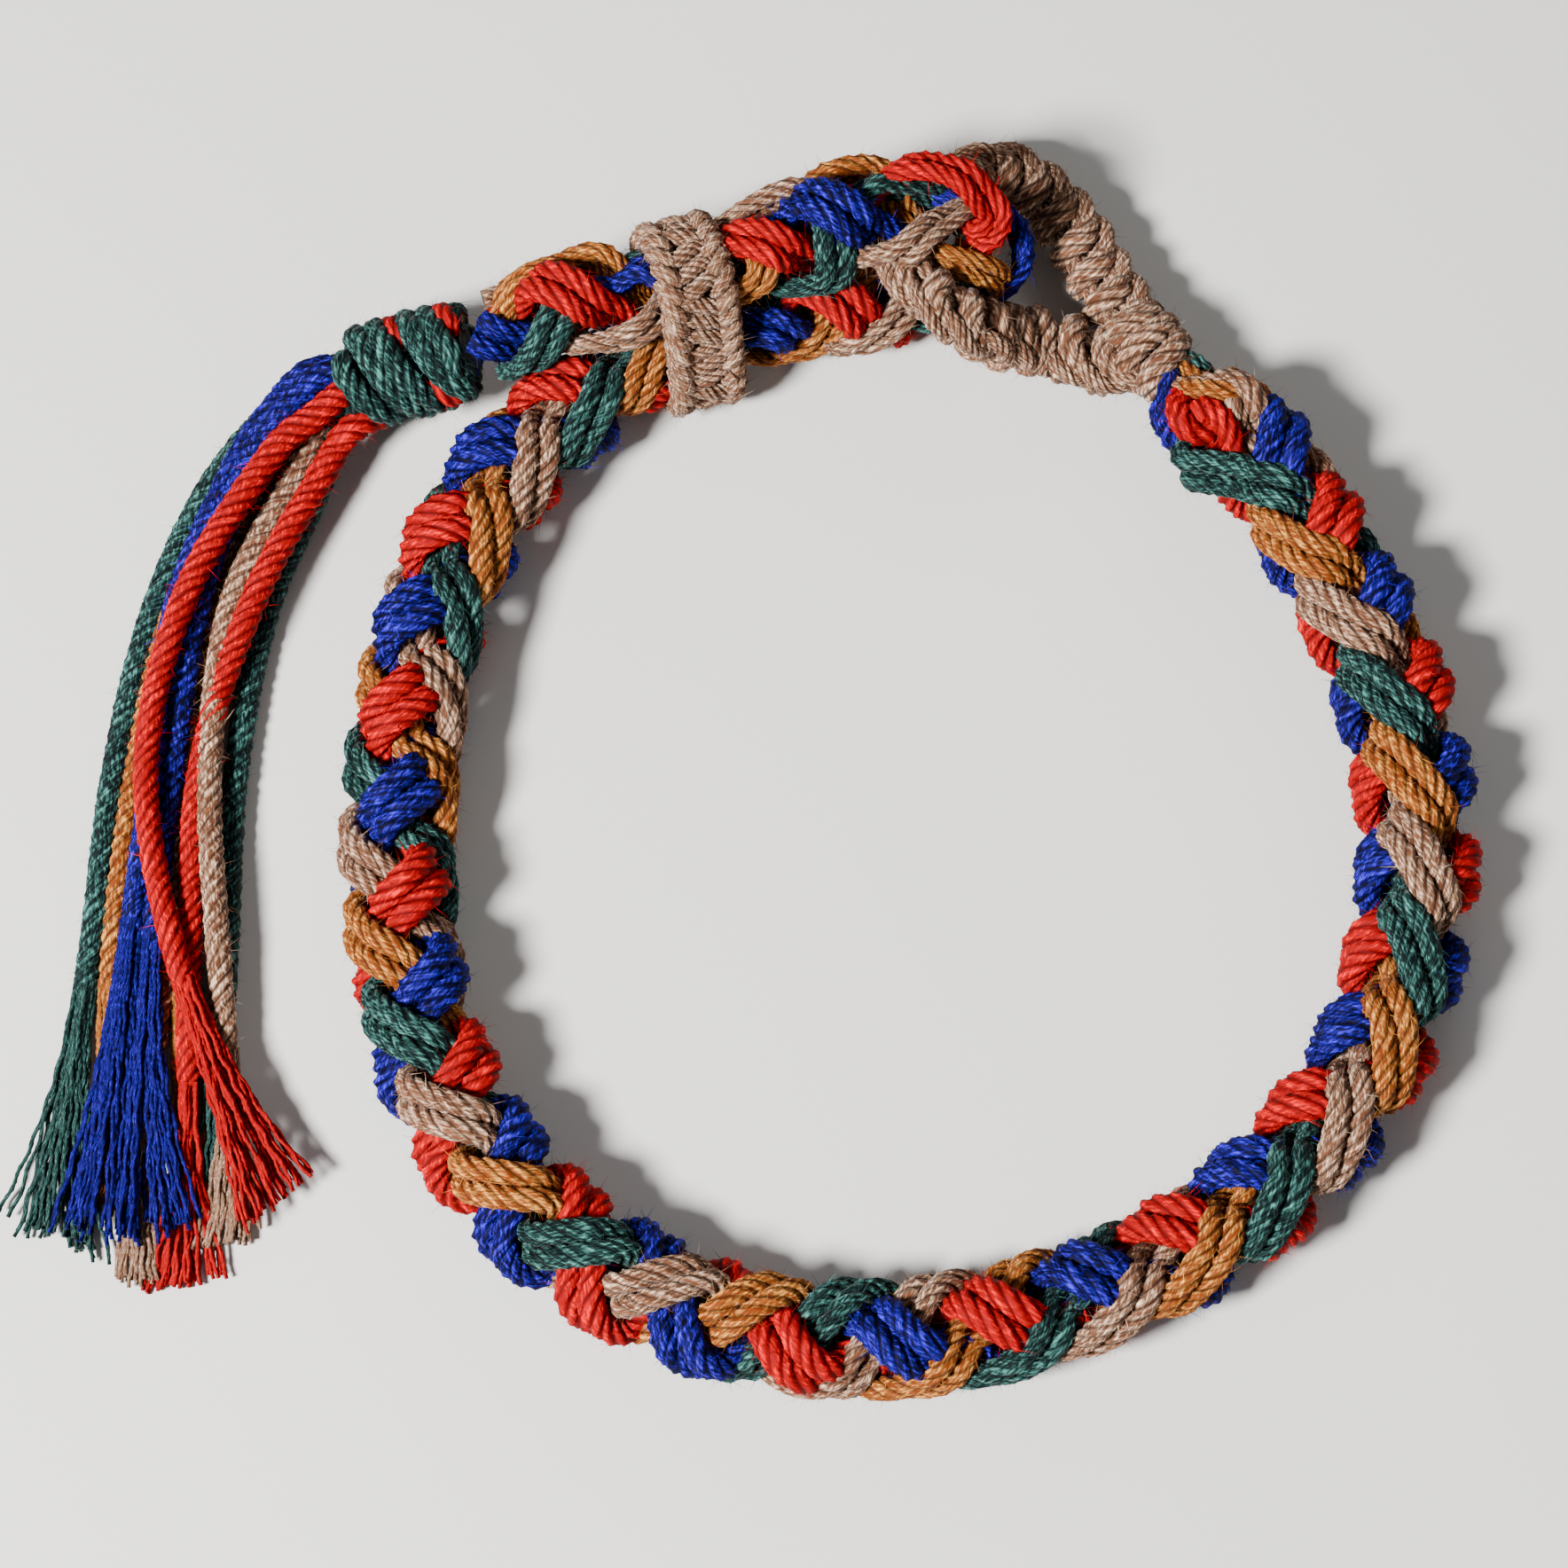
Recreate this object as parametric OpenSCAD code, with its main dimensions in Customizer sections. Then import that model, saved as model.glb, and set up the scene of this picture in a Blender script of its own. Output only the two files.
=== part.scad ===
// Braided bracelet. Five doubled cords are braided into one round braid. An eye loop, a sliding
// band and an end knot close it, and the cord ends make a tassel.
// Millimetres. The origin is the middle of the ring, on the surface that it lies on. +Z is up,
// the sliding band is on the +Y side and the tassel hangs towards -X.

/* [Cords] */
// Half of the width of a doubled cord
cord_half_w = 1; // [0.85:0.05:1]
// Half of the thickness of a doubled cord
cord_half_t = 0.43; // [0.35:0.01:0.43]
// How much wider a doubled cord is where it lies on top, as a share
float_widen = 0.3; // [0:0.05:0.35]
// How much thicker a doubled cord is where it lies on top, as a share
float_thicken = 0.35; // [0:0.05:0.35]

/* [Braid] */
// Length of braid for one crossing
lay = 6.35; // [6:0.05:6.6]
// Mean distance of the cords from the middle line of the braid
mid_r = 2.2; // [2.15:0.05:2.25]
// How far a cord rises and dips from that distance
lift_r = 1.05; // [1:0.05:1.1]

/* [Eye loop] */
// Radius of the wound legs
leg_r = 2.65; // [2.3:0.05:2.7]
// Radius of the bare cords at the far end
far_r = 1.45; // [1.2:0.05:1.5]
// Depth of the valleys between two turns of the winding
wind_depth = 0.3; // [0.1:0.05:0.4]

/* [Sliding band] */
// Width along the braid
band_w = 5; // [4:0.5:6]
// Inner radius round each run of the braid
band_r = 3.1; // [3.1:0.05:3.25]
// Thickness of the band at its raised rows
band_wall = 1.25; // [1.1:0.05:1.3]

/* [End knot and tassel] */
// Outer radius of the end knot
knot_r = 3.75; // [3.5:0.05:3.8]
// Half of the width of a coil, which is a doubled cord
coil_half_w = 1.6; // [1.5:0.05:1.65]
// Radius of the tassel's head inside the end knot
head_r = 1.45; // [1.2:0.05:1.5]
// Radius of one cord end of the tassel
lock_r = 0.95; // [0.8:0.05:1]
// Radius of a frayed tip
tip_r = 1.7; // [1.2:0.1:2]

/* [Hidden] */
// Middle line of the braid from the eye loop round the ring, through the band, round the fold in
// the eye loop and back through the band to the end knot.
// Columns: x, y, z, twist of the braid in degrees, thickness share, stretch of the lay.
line_rows = [
  [19.1, 34.4, 4.6, -240, 0.85, 1],
  [24.6, 29.5, 4.25, -238, 1, 1],
  [29.2, 21.9, 4.25, -230, 1, 1],
  [33.8, 11.1, 4.25, -208, 1, 1],
  [35, -1.8, 4.25, -183, 1, 1],
  [31.1, -14.8, 4.25, -155, 1, 1],
  [22, -25.2, 4.25, -143, 1, 1],
  [10.2, -31.2, 4.25, -108, 1, 1],
  [-1.4, -33.4, 4.25, -75, 1, 1],
  [-12.9, -31.8, 4.25, -20, 1, 1],
  [-23.2, -25.9, 4.25, 5, 1, 1],
  [-30.4, -16, 4.25, 28, 1, 1],
  [-33.4, -4, 4.25, 65, 1, 1],
  [-33.2, 8.6, 4.25, 103, 1, 1],
  [-31, 18.6, 4.25, 128, 1, 1],
  [-27.3, 26.3, 4.25, 131, 1, 1],
  [-23.4, 30.8, 4.25, 134, 0.97, 1],
  [-18.9, 34.3, 4.25, 140, 0.86, 1],
  [-13.9, 36.5, 4.4, 200, 0.64, 1],
  [-8.4, 38.2, 4.25, 262, 0.86, 1],
  [-3.4, 39.4, 4.25, 270, 0.92, 1],
  [1.9, 40.2, 3.75, 285, 0.74, 1.1],
  [5, 40.95, 4.8, 320, 0.72, 1.1],
  [6.3, 42.75, 7.3, 360, 0.72, 1.1],
  [5, 44.55, 9.8, 400, 0.72, 1.1],
  [1.9, 45.3, 10.85, 430, 0.74, 1.1],
  [-2.2, 44.6, 10.8, 445, 0.9, 1.05],
  [-6, 43.2, 10.7, 450, 0.95, 1],
  [-10, 41.4, 10.2, 450, 0.82, 1],
  [-14.9, 39.2, 9.1, 450, 0.62, 1],
  [-19.6, 37.6, 10, 450, 0.82, 1],
  [-23.8, 36.6, 9.5, 450, 0.9, 1],
  [-27.8, 35.3, 7.8, 450, 0.85, 1]
];
// Rows of the table where the braid passes through the sliding band, and the band's level way
main_row = 18;
tail_row = 29;
band_level_way = [0.936, 0.352, 0];
// Parts of the curve between two rows of the table
line_parts = 12;

// A cord rises over two cords and dips under two: terms of that wave for no turn, one and two
// rises in a round, then how the cords bunch up on the way, in degrees, for the three cords that go
// round one way, for the two that go the other way, and for all of them at the braid's edges.
rise_terms = [0.2, -0.494, 1.294];
long_shift = 11.5;
short_shift = 7;
edge_shift = 11.5;
// Crossings from one ring of a cord's skin to the next, for the three cords and for the two
long_step = 0.25;
short_step = 0.2;
// Crossings left free at each end of a cord
end_gap = 0.08;

// The eye loop from its foot along the lower leg to the far end and back along the upper leg.
// Columns: x, y, z, radius share from the bare cords (0) to the winding (1).
eye_rows = [
  [17.4, 35.9, 3.4, 0.8],
  [15.1, 35.9, 3, 1],
  [12.6, 36.7, 3, 1],
  [10, 37.3, 3.2, 0.95],
  [7.6, 36.9, 5, 0.8],
  [5.2, 36.6, 8, 0.6],
  [2.6, 37.8, 10, 0.4],
  [0.8, 39.9, 9.7, 0.1],
  [1.05, 42.1, 7.8, 0.05],
  [2.2, 44.1, 6.2, 0],
  [3.9, 47, 4.4, 0.2],
  [6.2, 49.6, 3.4, 0.7],
  [8.4, 49.8, 3, 0.9],
  [11, 47.8, 3, 0.9],
  [13, 45.1, 3, 0.9],
  [14.4, 42.4, 3, 0.9],
  [16.7, 38, 3.5, 0.8]
];
// Length of one turn of the winding
wind_pitch = 2.2;
// Foot of the eye loop, where both legs are bound together. Columns: x, y, z, radius.
foot_rows = [
  [16.7, 38.6, 3.4, 2.5],
  [17.2, 37.8, 3.5, 3.2],
  [17.5, 37.3, 3.6, 2.9],
  [17.8, 36.7, 3.8, 3.4],
  [18.05, 36.3, 3.9, 3.1],
  [18.2, 36, 4.1, 3.1],
  [18.35, 35.7, 4.2, 2.4],
  [18.45, 35.5, 4.3, 2.4],
  [18.5, 35.4, 4.4, 2.2]
];

// Axis of the end knot, from the braid to the tassel
knot_from = [-28.6, 35.3, 6.7];
knot_to = [-38.3, 34, 3.5];
// Length along the axis that one coil takes for a whole turn, and the angle where the first starts
coil_pitch = 7.6;
coil_first = -57;
coil_starts = 2;

// Heights in y at which the tassel's cord ends are measured, from the end knot outwards
lock_y = [28, 18, 6, -7, -19];
// The ten cord ends. Columns: x at each of those heights, z at the first two, z at the next two, z
// from the last to the tip, y of the tip.
lock_rows = [
  [-42.9, -48.3, -50.7, -48.3, -43.4, 4.8, 3.9, 2.9, -22.8],
  [-39.8, -44.4, -47, -46.9, -47, 2.4, 1.1, 1.6, -27],
  [-41.3, -45.5, -46.5, -45.4, -44.2, 3.8, 2.95, 1.6, -23.5],
  [-43.2, -48.1, -48.6, -49.2, -50.2, 1.1, 1.1, 1.6, -26.5],
  [-46, -49.2, -50.4, -51.5, -51.6, 2.5, 1.2, 2.3, -23.8],
  [-44.5, -47.7, -49.1, -50, -49, 3.2, 2.1, 2.7, -23],
  [-46.9, -51, -53.3, -54.3, -55.6, 1.1, 1.1, 1.6, -24.8],
  [-39.7, -43.2, -44.9, -45.1, -45.6, 1.1, 1.1, 1.6, -22],
  [-45, -49.6, -51.8, -52.8, -52.2, 1.2, 1.1, 1.6, -21.5],
  [-41.4, -46.4, -47.9, -47.9, -47.2, 1.2, 2.2, 1.6, -21.5]
];
// Where the middle of the cord ends is at the first of those heights
lock_middle = -43.8;
// Rings in the bend of a cord end; past it the rings are twice as far apart
bend_rings = 9;
// How much further a frayed tip reaches, and its height as a share of its width
tip_len = 3.4;
tip_flat = 0.75;

// Colours of the wool
green = [0.06, 0.2, 0.18];
taupe = [0.55, 0.43, 0.36];
ochre = [0.72, 0.4, 0.12];
red = [0.8, 0.09, 0.07];
blue = [0.08, 0.1, 0.5];

// Smooth curves through rows of a table
function row_at(rows, i) = rows[max(0, min(len(rows) - 1, i))];
function curve(a, b, c, d, u) =
  0.5 * (2 * b + (c - a) * u + (2 * a - 5 * b + 4 * c - d) * u * u + (3 * b - a - 3 * c + d) * u * u * u);
function curve_rows(rows, parts) = concat(
  [
    for (i = [0:len(rows) - 2])
      for (j = [0:parts - 1])
        curve(row_at(rows, i - 1), rows[i], rows[i + 1], row_at(rows, i + 2), j / parts)
  ],
  [rows[len(rows) - 1]]
);
function point_of(row) = [row[0], row[1], row[2]];
function unit(v) = v / norm(v);
function clamp(v, low, high) = max(low, min(high, v));
// Running lengths along a list of rows, each part divided by its own scale
function running(rows, scales) = [
  for (
    i = 0, s = 0;
    i < len(rows);
    s = s + (i < len(rows) - 1 ? norm(point_of(rows[i + 1]) - point_of(rows[i])) / scales[i] : 0),
    i = i + 1
  ) s
];
// A table that gives one column of the rows for any running length
function column_table(rows, lengths, column) = [for (i = [0:len(rows) - 1]) [lengths[i], rows[i][column]]];

// The braid's middle line, measured in crossings
line = curve_rows(line_rows, line_parts);
crossings = running(line, [for (r = line) lay * r[5]]);
line_end = crossings[len(crossings) - 1];
line_x = column_table(line, crossings, 0);
line_y = column_table(line, crossings, 1);
line_z = column_table(line, crossings, 2);
line_twist = column_table(line, crossings, 3);
line_share = column_table(line, crossings, 4);
function line_point(t) = [lookup(t, line_x), lookup(t, line_y), lookup(t, line_z)];
function line_way(t) = unit(line_point(t + 0.06) - line_point(t - 0.06));

// A cord goes round the braid as angle u and rises over two cords and dips under two.
// turn is 1 for the three cords that go round one way and -1 for the two that go the other way.
function rise(u) =
  let (wave = rise_terms[0] + rise_terms[1] * cos(u) + rise_terms[2] * cos(2 * u))
    wave * sqrt(2) / sqrt(1 + wave * wave);
function cord_angle(t, start, turn) =
  let (x = turn > 0 ? 120 * (t + start) : -180 * (t - start))
    turn > 0 ? x - long_shift * sin(2 * x) : x + short_shift * sin(2 * x);
function cord_out(t, start, turn) =
  let (
    u = cord_angle(t, start, turn),
    way = line_way(t),
    up = unit([0, 0, 1] - way[2] * way),
    across = cross(up, way),
    a = u + edge_shift * sin(u) + lookup(t, line_twist)
  )
    cos(a) * up + sin(a) * across;
function cord_point(t, start, turn) =
  line_point(t) + lookup(t, line_share)
  * (mid_r + turn * lift_r * rise(cord_angle(t, start, turn)))
  * cord_out(t, start, turn);
// The six corners of a doubled cord's section
section_corners = [[1, 0], [0.5, 1], [-0.5, 1], [-1, 0], [-0.5, -1], [0.5, -1]];
function cord_ring(t, start, turn) =
  let (
    share = lookup(t, line_share),
    way = unit(cord_point(t + 0.04, start, turn) - cord_point(t - 0.04, start, turn)),
    side = unit(cross(way, cord_out(t, start, turn))),
    up = cross(side, way),
    on_top = clamp((1 + turn * rise(cord_angle(t, start, turn))) / 2, 0, 1),
    half_w = cord_half_w * (1 + float_widen * on_top) * share,
    gain = cord_half_t * float_thicken * on_top * share,
    half_t = cord_half_t * share + gain,
    middle = cord_point(t, start, turn) + 0.6 * gain * up
  )
    [for (c = section_corners) middle + c[0] * half_w * side + c[1] * half_t * up];

// A closed skin over rings with the same number of corners
module skin(rings) {
  n = len(rings[0]);
  last = (len(rings) - 1) * n;
  sides = [
    for (i = [0:len(rings) - 2])
      for (j = [0:n - 1])
        let (a = i * n + j, b = i * n + (j + 1) % n)
          each [[a, b, b + n], [a, b + n, a + n]]
  ];
  ends = [for (j = [1:n - 2]) each [[0, j + 1, j], [last, last + j, last + j + 1]]];
  polyhedron(points = [for (ring = rings) each ring], faces = concat(sides, ends));
}

module strand(start, turn) {
  reach = line_end - 2 * end_gap;
  count = round(reach / (turn > 0 ? long_step : short_step));
  skin([for (i = [0:count]) cord_ring(end_gap + reach * i / count, start, turn)]);
}
module strand_green() { color(green) strand(0, 1); }
module strand_taupe() { color(taupe) strand(1, 1); }
module strand_ochre() { color(ochre) strand(2, 1); }
module strand_red() { color(red) strand(0, -1); }
module strand_blue() { color(blue) strand(1, -1); }

// A round ring of corners at one place of a path
function path_way(path, i) =
  unit(point_of(path[min(i + 1, len(path) - 1)]) - point_of(path[max(i - 1, 0)]));
function path_ring(path, i, radius, sides) =
  let (
    way = path_way(path, i),
    side = unit(cross(way, [0, 0, 1])),
    up = cross(side, way)
  )
    [
      for (j = [0:sides - 1])
        point_of(path[i]) + radius * (cos(360 * j / sides) * side + sin(360 * j / sides) * up)
    ];

// The wound cord of the eye: its radius dips between two turns of the winding
module wound_cord(rows) {
  path = curve_rows(rows, 8);
  lengths = running(path, [for (r = path) wind_pitch]);
  turns = round(lengths[len(lengths) - 1]);
  tables = [for (c = [0:3]) column_table(path, lengths, c)];
  spots = [
    for (i = [0:2 * turns])
      let (at = lengths[len(lengths) - 1] * i / (2 * turns))
        [for (c = [0:3]) lookup(at, tables[c])]
  ];
  skin(
    [
      for (i = [0:2 * turns])
        let (share = clamp(spots[i][3], 0, 1))
          path_ring(spots, i, far_r + (leg_r - far_r) * share - (i % 2) * wind_depth * share, 8)
    ]
  );
}
module eye_loop() {
  color(taupe) union() {
    wound_cord(eye_rows);
    skin([for (i = [0:len(foot_rows) - 1]) path_ring(foot_rows, i, foot_rows[i][3], 9)]);
  }
}

// The band is a flat ring round both runs, with three raised rows of knots
band_main = point_of(line_rows[main_row]);
band_tail = point_of(line_rows[tail_row]);
band_middle = (band_main + band_tail) / 2;
band_gap = norm(band_tail - band_main);
band_up = unit(band_tail - band_main);
band_way = unit(cross(cross(band_up, band_level_way), band_up));
band_side = cross(band_way, band_up);
band_rows = 3;
row_gap = 0.35;
row_dip = 0.3;
row_edge = 0.1;
module long_disc(radius) {
  square([band_gap, 2 * radius], center = true);
  for (end = [-1, 1])
    translate([end * band_gap / 2, 0])
      circle(r = radius, $fn = 64);
}
module band_ring(radius, width) {
  linear_extrude(height = width, center = true)
    difference() {
      long_disc(radius);
      long_disc(band_r);
    }
}
module slider_band() {
  row_w = (band_w - (band_rows - 1) * row_gap) / band_rows;
  color(taupe)
    multmatrix([
      [band_up[0], band_side[0], band_way[0], band_middle[0]],
      [band_up[1], band_side[1], band_way[1], band_middle[1]],
      [band_up[2], band_side[2], band_way[2], band_middle[2]],
      [0, 0, 0, 1]
    ])
      union() {
        band_ring(band_r + band_wall - row_dip, band_w - 2 * row_edge);
        for (i = [0:band_rows - 1])
          translate([0, 0, (i - (band_rows - 1) / 2) * (row_w + row_gap)])
            band_ring(band_r + band_wall, row_w);
      }
}

// The end knot: two coils go round side by side on a thin sleeve
knot_len = norm(knot_to - knot_from);
knot_way = unit(knot_to - knot_from);
sleeve_in = head_r + 0.2;
sleeve_out = head_r + 0.85;
coil_sink = 0.3;
coil_half_t = (knot_r - sleeve_out + coil_sink) / 2;
coil_mid = knot_r - coil_half_t;
coil_sides = 8;
module along_knot() {
  translate(knot_from)
    rotate([0, acos(knot_way[2]), atan2(knot_way[1], knot_way[0])])
      children();
}
// A ring of corners round one place of a coil
function coil_ring(z, angle) =
  let (
    out = [cos(angle), sin(angle), 0],
    round_way = [-sin(angle), cos(angle), 0],
    way = unit(2 * PI * coil_mid * round_way + [0, 0, coil_pitch]),
    side = cross(way, out)
  )
    [
      for (j = [0:coil_sides - 1])
        coil_mid * out + [0, 0, z]
        + coil_half_w * cos(360 * j / coil_sides) * side
        + coil_half_t * sin(360 * j / coil_sides) * out
    ];
module end_knot() {
  steps = 14;
  edge = coil_half_w * 0.8;
  turns = (knot_len - 2 * edge) / coil_pitch;
  color(green)
    along_knot() union() {
      difference() {
        cylinder(h = knot_len, r = sleeve_out, $fn = 12);
        translate([0, 0, -1])
          cylinder(h = knot_len + 2, r = sleeve_in, $fn = 12);
      }
      for (start = [0:coil_starts - 1])
        skin(
          [
            for (i = [0:steps])
              coil_ring(
                edge + turns * coil_pitch * i / steps,
                coil_first + 360 * (start / coil_starts + turns * i / steps)
              )
          ]
        );
    }
}

// The tassel: ten cord ends fused to a head inside the end knot, each with a frayed tip
module lock(row) {
  low = len(lock_y);
  fan = lock_middle - row[0];
  layer = row[low] - 2.3;
  rows = concat(
    [
      [knot_to[0] + 0.3, knot_to[1] + fan * 0.04, knot_to[2] + layer * 0.06, lock_r * 0.4],
      [knot_to[0] - 1.8 - fan * 0.15, knot_to[1] - 0.8 + fan * 0.5, knot_to[2] + layer * 0.5 - 0.4, lock_r]
    ],
    [
      for (i = [0:low - 1])
        [row[i], lock_y[i], i < 2 ? row[low] : i < 4 ? row[low + 1] : row[low + 2], lock_r]
    ],
    [[row[low - 1], row[low + 3], row[low + 2], lock_r]]
  );
  fine = curve_rows(rows, 2);
  path = [for (i = [0:len(fine) - 1]) if (i < bend_rings || i % 2 == 0) fine[i]];
  last = len(path) - 1;
  skin([for (i = [0:last]) path_ring(path, i, path[i][3], 5)]);
  way = path_way(path, last);
  hull() {
    translate(point_of(path[last]) - 0.3 * way)
      rotate([90, 0, 0])
        cylinder(h = 0.3, r = lock_r, $fn = 6);
    translate(point_of(path[last]) + tip_len * way)
      rotate([90, 0, 0])
        scale([1, tip_flat, 1])
          cylinder(h = 0.3, r = tip_r, $fn = 6);
  }
}
module tassel() {
  color(red) union() {
    along_knot()
      translate([0, 0, 0.2])
        cylinder(h = knot_len, r = head_r, $fn = 10);
    for (row = lock_rows) lock(row);
  }
}

strand_green();
strand_taupe();
strand_ochre();
strand_red();
strand_blue();
eye_loop();
slider_band();
end_knot();
tassel();
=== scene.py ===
import math
import bpy
import numpy as np
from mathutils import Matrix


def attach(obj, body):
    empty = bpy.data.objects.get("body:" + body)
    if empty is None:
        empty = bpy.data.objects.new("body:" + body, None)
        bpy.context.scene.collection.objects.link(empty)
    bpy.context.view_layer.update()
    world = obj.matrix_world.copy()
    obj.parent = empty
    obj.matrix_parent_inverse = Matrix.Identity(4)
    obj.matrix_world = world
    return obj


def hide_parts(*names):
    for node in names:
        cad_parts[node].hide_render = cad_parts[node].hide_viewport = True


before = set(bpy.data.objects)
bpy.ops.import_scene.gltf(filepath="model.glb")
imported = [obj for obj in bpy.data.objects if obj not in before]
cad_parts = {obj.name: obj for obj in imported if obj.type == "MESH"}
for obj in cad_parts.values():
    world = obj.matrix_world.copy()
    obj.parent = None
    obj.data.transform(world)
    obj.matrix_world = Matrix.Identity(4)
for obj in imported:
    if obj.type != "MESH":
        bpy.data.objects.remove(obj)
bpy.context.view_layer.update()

# Braided wool bracelet. Every table is in millimetres, in the part's own frame.
MM = 0.001

# Middle line of the braid from the eye's foot round the ring, through the band, round the fold in
# the eye and back through the band to the end knot.
# Columns: x, y, z, turn of the braid's pattern in degrees, thickness share, stretch of the lay
LINE_ROWS = [
    [19.1, 34.4, 4.6, -240, 0.85, 1],
    [24.6, 29.5, 4.25, -238, 1, 1],
    [29.2, 21.9, 4.25, -230, 1, 1],
    [33.8, 11.1, 4.25, -208, 1, 1],
    [35, -1.8, 4.25, -183, 1, 1],
    [31.1, -14.8, 4.25, -155, 1, 1],
    [22, -25.2, 4.25, -143, 1, 1],
    [10.2, -31.2, 4.25, -108, 1, 1],
    [-1.4, -33.4, 4.25, -75, 1, 1],
    [-12.9, -31.8, 4.25, -20, 1, 1],
    [-23.2, -25.9, 4.25, 5, 1, 1],
    [-30.4, -16, 4.25, 28, 1, 1],
    [-33.4, -4, 4.25, 65, 1, 1],
    [-33.2, 8.6, 4.25, 103, 1, 1],
    [-31, 18.6, 4.25, 128, 1, 1],
    [-27.3, 26.3, 4.25, 131, 1, 1],
    [-23.4, 30.8, 4.25, 134, 0.97, 1],
    [-18.9, 34.3, 4.25, 140, 0.86, 1],
    [-13.9, 36.5, 4.4, 200, 0.64, 1],
    [-8.4, 38.2, 4.25, 262, 0.86, 1],
    [-3.4, 39.4, 4.25, 270, 0.92, 1],
    [1.9, 40.2, 3.75, 285, 0.74, 1.1],
    [5, 40.95, 4.8, 320, 0.72, 1.1],
    [6.3, 42.75, 7.3, 360, 0.72, 1.1],
    [5, 43.9, 9.8, 400, 0.72, 1.1],
    [1.9, 44.4, 10.85, 430, 0.74, 1.1],
    [-2.2, 43.7, 10.8, 445, 0.9, 1.05],
    [-6, 42.4, 10.7, 450, 0.95, 1],
    [-9.8, 40.9, 10.2, 450, 0.82, 1],
    [-14.3, 39.1, 9.1, 450, 0.62, 1],
    [-19.6, 37.6, 10, 450, 0.82, 1],
    [-23.8, 36.6, 9.5, 450, 0.9, 1],
    [-27.8, 35.3, 7.8, 450, 0.85, 1],
]
LINE_PARTS = 12

# The five cords. Columns: colour, place in the order of its kind, way that it goes round
CORD_ROWS = [
    ["green", 0, 1],
    ["taupe", 1, 1],
    ["ochre", 2, 1],
    ["red", 0, -1],
    ["blue", 1, -1],
]

# The braid's lay: one crossing, and the degrees that a cord goes round the braid in it
LAY = 6.35
LONG_TURN = 120
SHORT_TURN = 180

# How a cord rises over two cords and dips under two, and how it is shifted round the braid
RISE_TERMS = (0.2, -0.494, 1.294)
MID_R = 2.15
LIFT_R = 1.0
EDGE_SHIFT = 15.0
LONG_SHIFT = 11.5
SHORT_SHIFT = 9.0

# Where a cord leaves that regular way, at the braid's start, in the fold and beside the band.
# Columns: colour, crossing, half of the stretch in crossings, shift in x, y and z
SHIFT_ROWS = [
    ["blue", 0.35, 0.6, -1.5, -0.6, 1.0],
    ["red", 0.4, 0.7, -1.8, -1.9, -1.6],
    ["red", 0.95, 0.6, -1.1, 0.0, 1.8],
    ["taupe", 0.65, 0.6, 2.6, 2.0, 0.8],
    ["ochre", 0.45, 0.5, 0.4, -1.2, 2.4],
    ["green", 0.2, 0.4, 0.5, 0.0, 2.4],
    ["green", 1.15, 0.5, -1.9, -0.6, 0.4],
    ["blue", 33.4, 0.6, 0.6, 0.0, 0.0],
    ["red", 33.8, 1.1, 1.6, 0.3, 1.8],
    ["ochre", 33.8, 1.0, -0.2, -2.3, -1.8],
    ["taupe", 34.6, 0.8, 0.8, -2.2, -0.3],
    ["green", 34.7, 0.7, 0.3, -1.7, 0.6],
    ["blue", 30.7, 0.8, 1.8, 0.3, 0.0],
    ["ochre", 31.2, 0.8, 1.5, 1.2, -1.1],
    ["red", 31.8, 0.8, 0.7, -0.5, 0.0],
    ["ochre", 35.1, 0.5, 1.7, 0.7, 0.9],
    ["blue", 35.3, 0.9, 0.2, -0.7, 0.2],
    ["ochre", 35.85, 0.5, 0.8, -1.4, -2.2],
    ["taupe", 36.05, 0.7, 2.4, 1.2, 1.4],
    ["green", 36.0, 0.7, 2.2, -0.2, -0.9],
    ["red", 36.3, 0.9, 1.4, 0.0, 0.2],
    ["ochre", 36.7, 0.6, 2.3, 0.1, 0.6],
    ["taupe", 37.6, 0.9, 0.4, -0.7, -1.0],
    ["green", 38.0, 0.5, -0.4, -0.5, -2.3],
    ["ochre", 38.05, 0.5, 0.5, 0.6, 1.6],
    ["taupe", 38.35, 0.4, -0.9, -0.35, 0.0],
    ["blue", 37.7, 0.6, 0.0, -0.7, 0.8],
    ["blue", 29.05, 0.5, -1.3, 0.0, 0.0],
]

# How tightly the cords leave the eye's foot, and over how many crossings they open
TUCK_SHARE = 0.35
TUCK_PART = 0.7

# One twisted wool rope; a cord of the braid is two of them side by side. The two cords that go
# round one way lie fuller and higher than the three that go round the other way, and each rope is
# fuller and its pair wider where the cord lies on top.
ROPE_R = 0.95
ROPE_GAP = 0.86
THINNEST_ROPE = 0.72
TWIST_LENGTH = 5.6
SHORT_FULLER = 1.05
LONG_FULLER = 0.9
SHORT_HIGHER = 0.12
LONG_HIGHER = -0.12
SPREAD_LOW = 0.94
SPREAD_ON_TOP = 0.1
THICK_LOW = 0.95
THICK_ON_TOP = 0.07

# Steps in crossings: from point to point of a rope, and to each side of a point for its way
ROPE_STEP = 0.062
WAY_STEP = 0.06

# How uneven a rope is: the lengths over which its twist and its surface wander
LOOSE_LENGTH = 2.4
LUMP_LENGTH = 0.8

# Where the wool's streaks begin on one rope after another
START_STEP = 37.7
START_SPAN = 11.0

# Stray fibres: the height from which they grow, how far they lean in radians and their size share
HAIR_FROM_Z = 0.9
HAIR_LEANS = (0.5, 1.35)
HAIR_SHARES = (0.3, 1.3)

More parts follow.
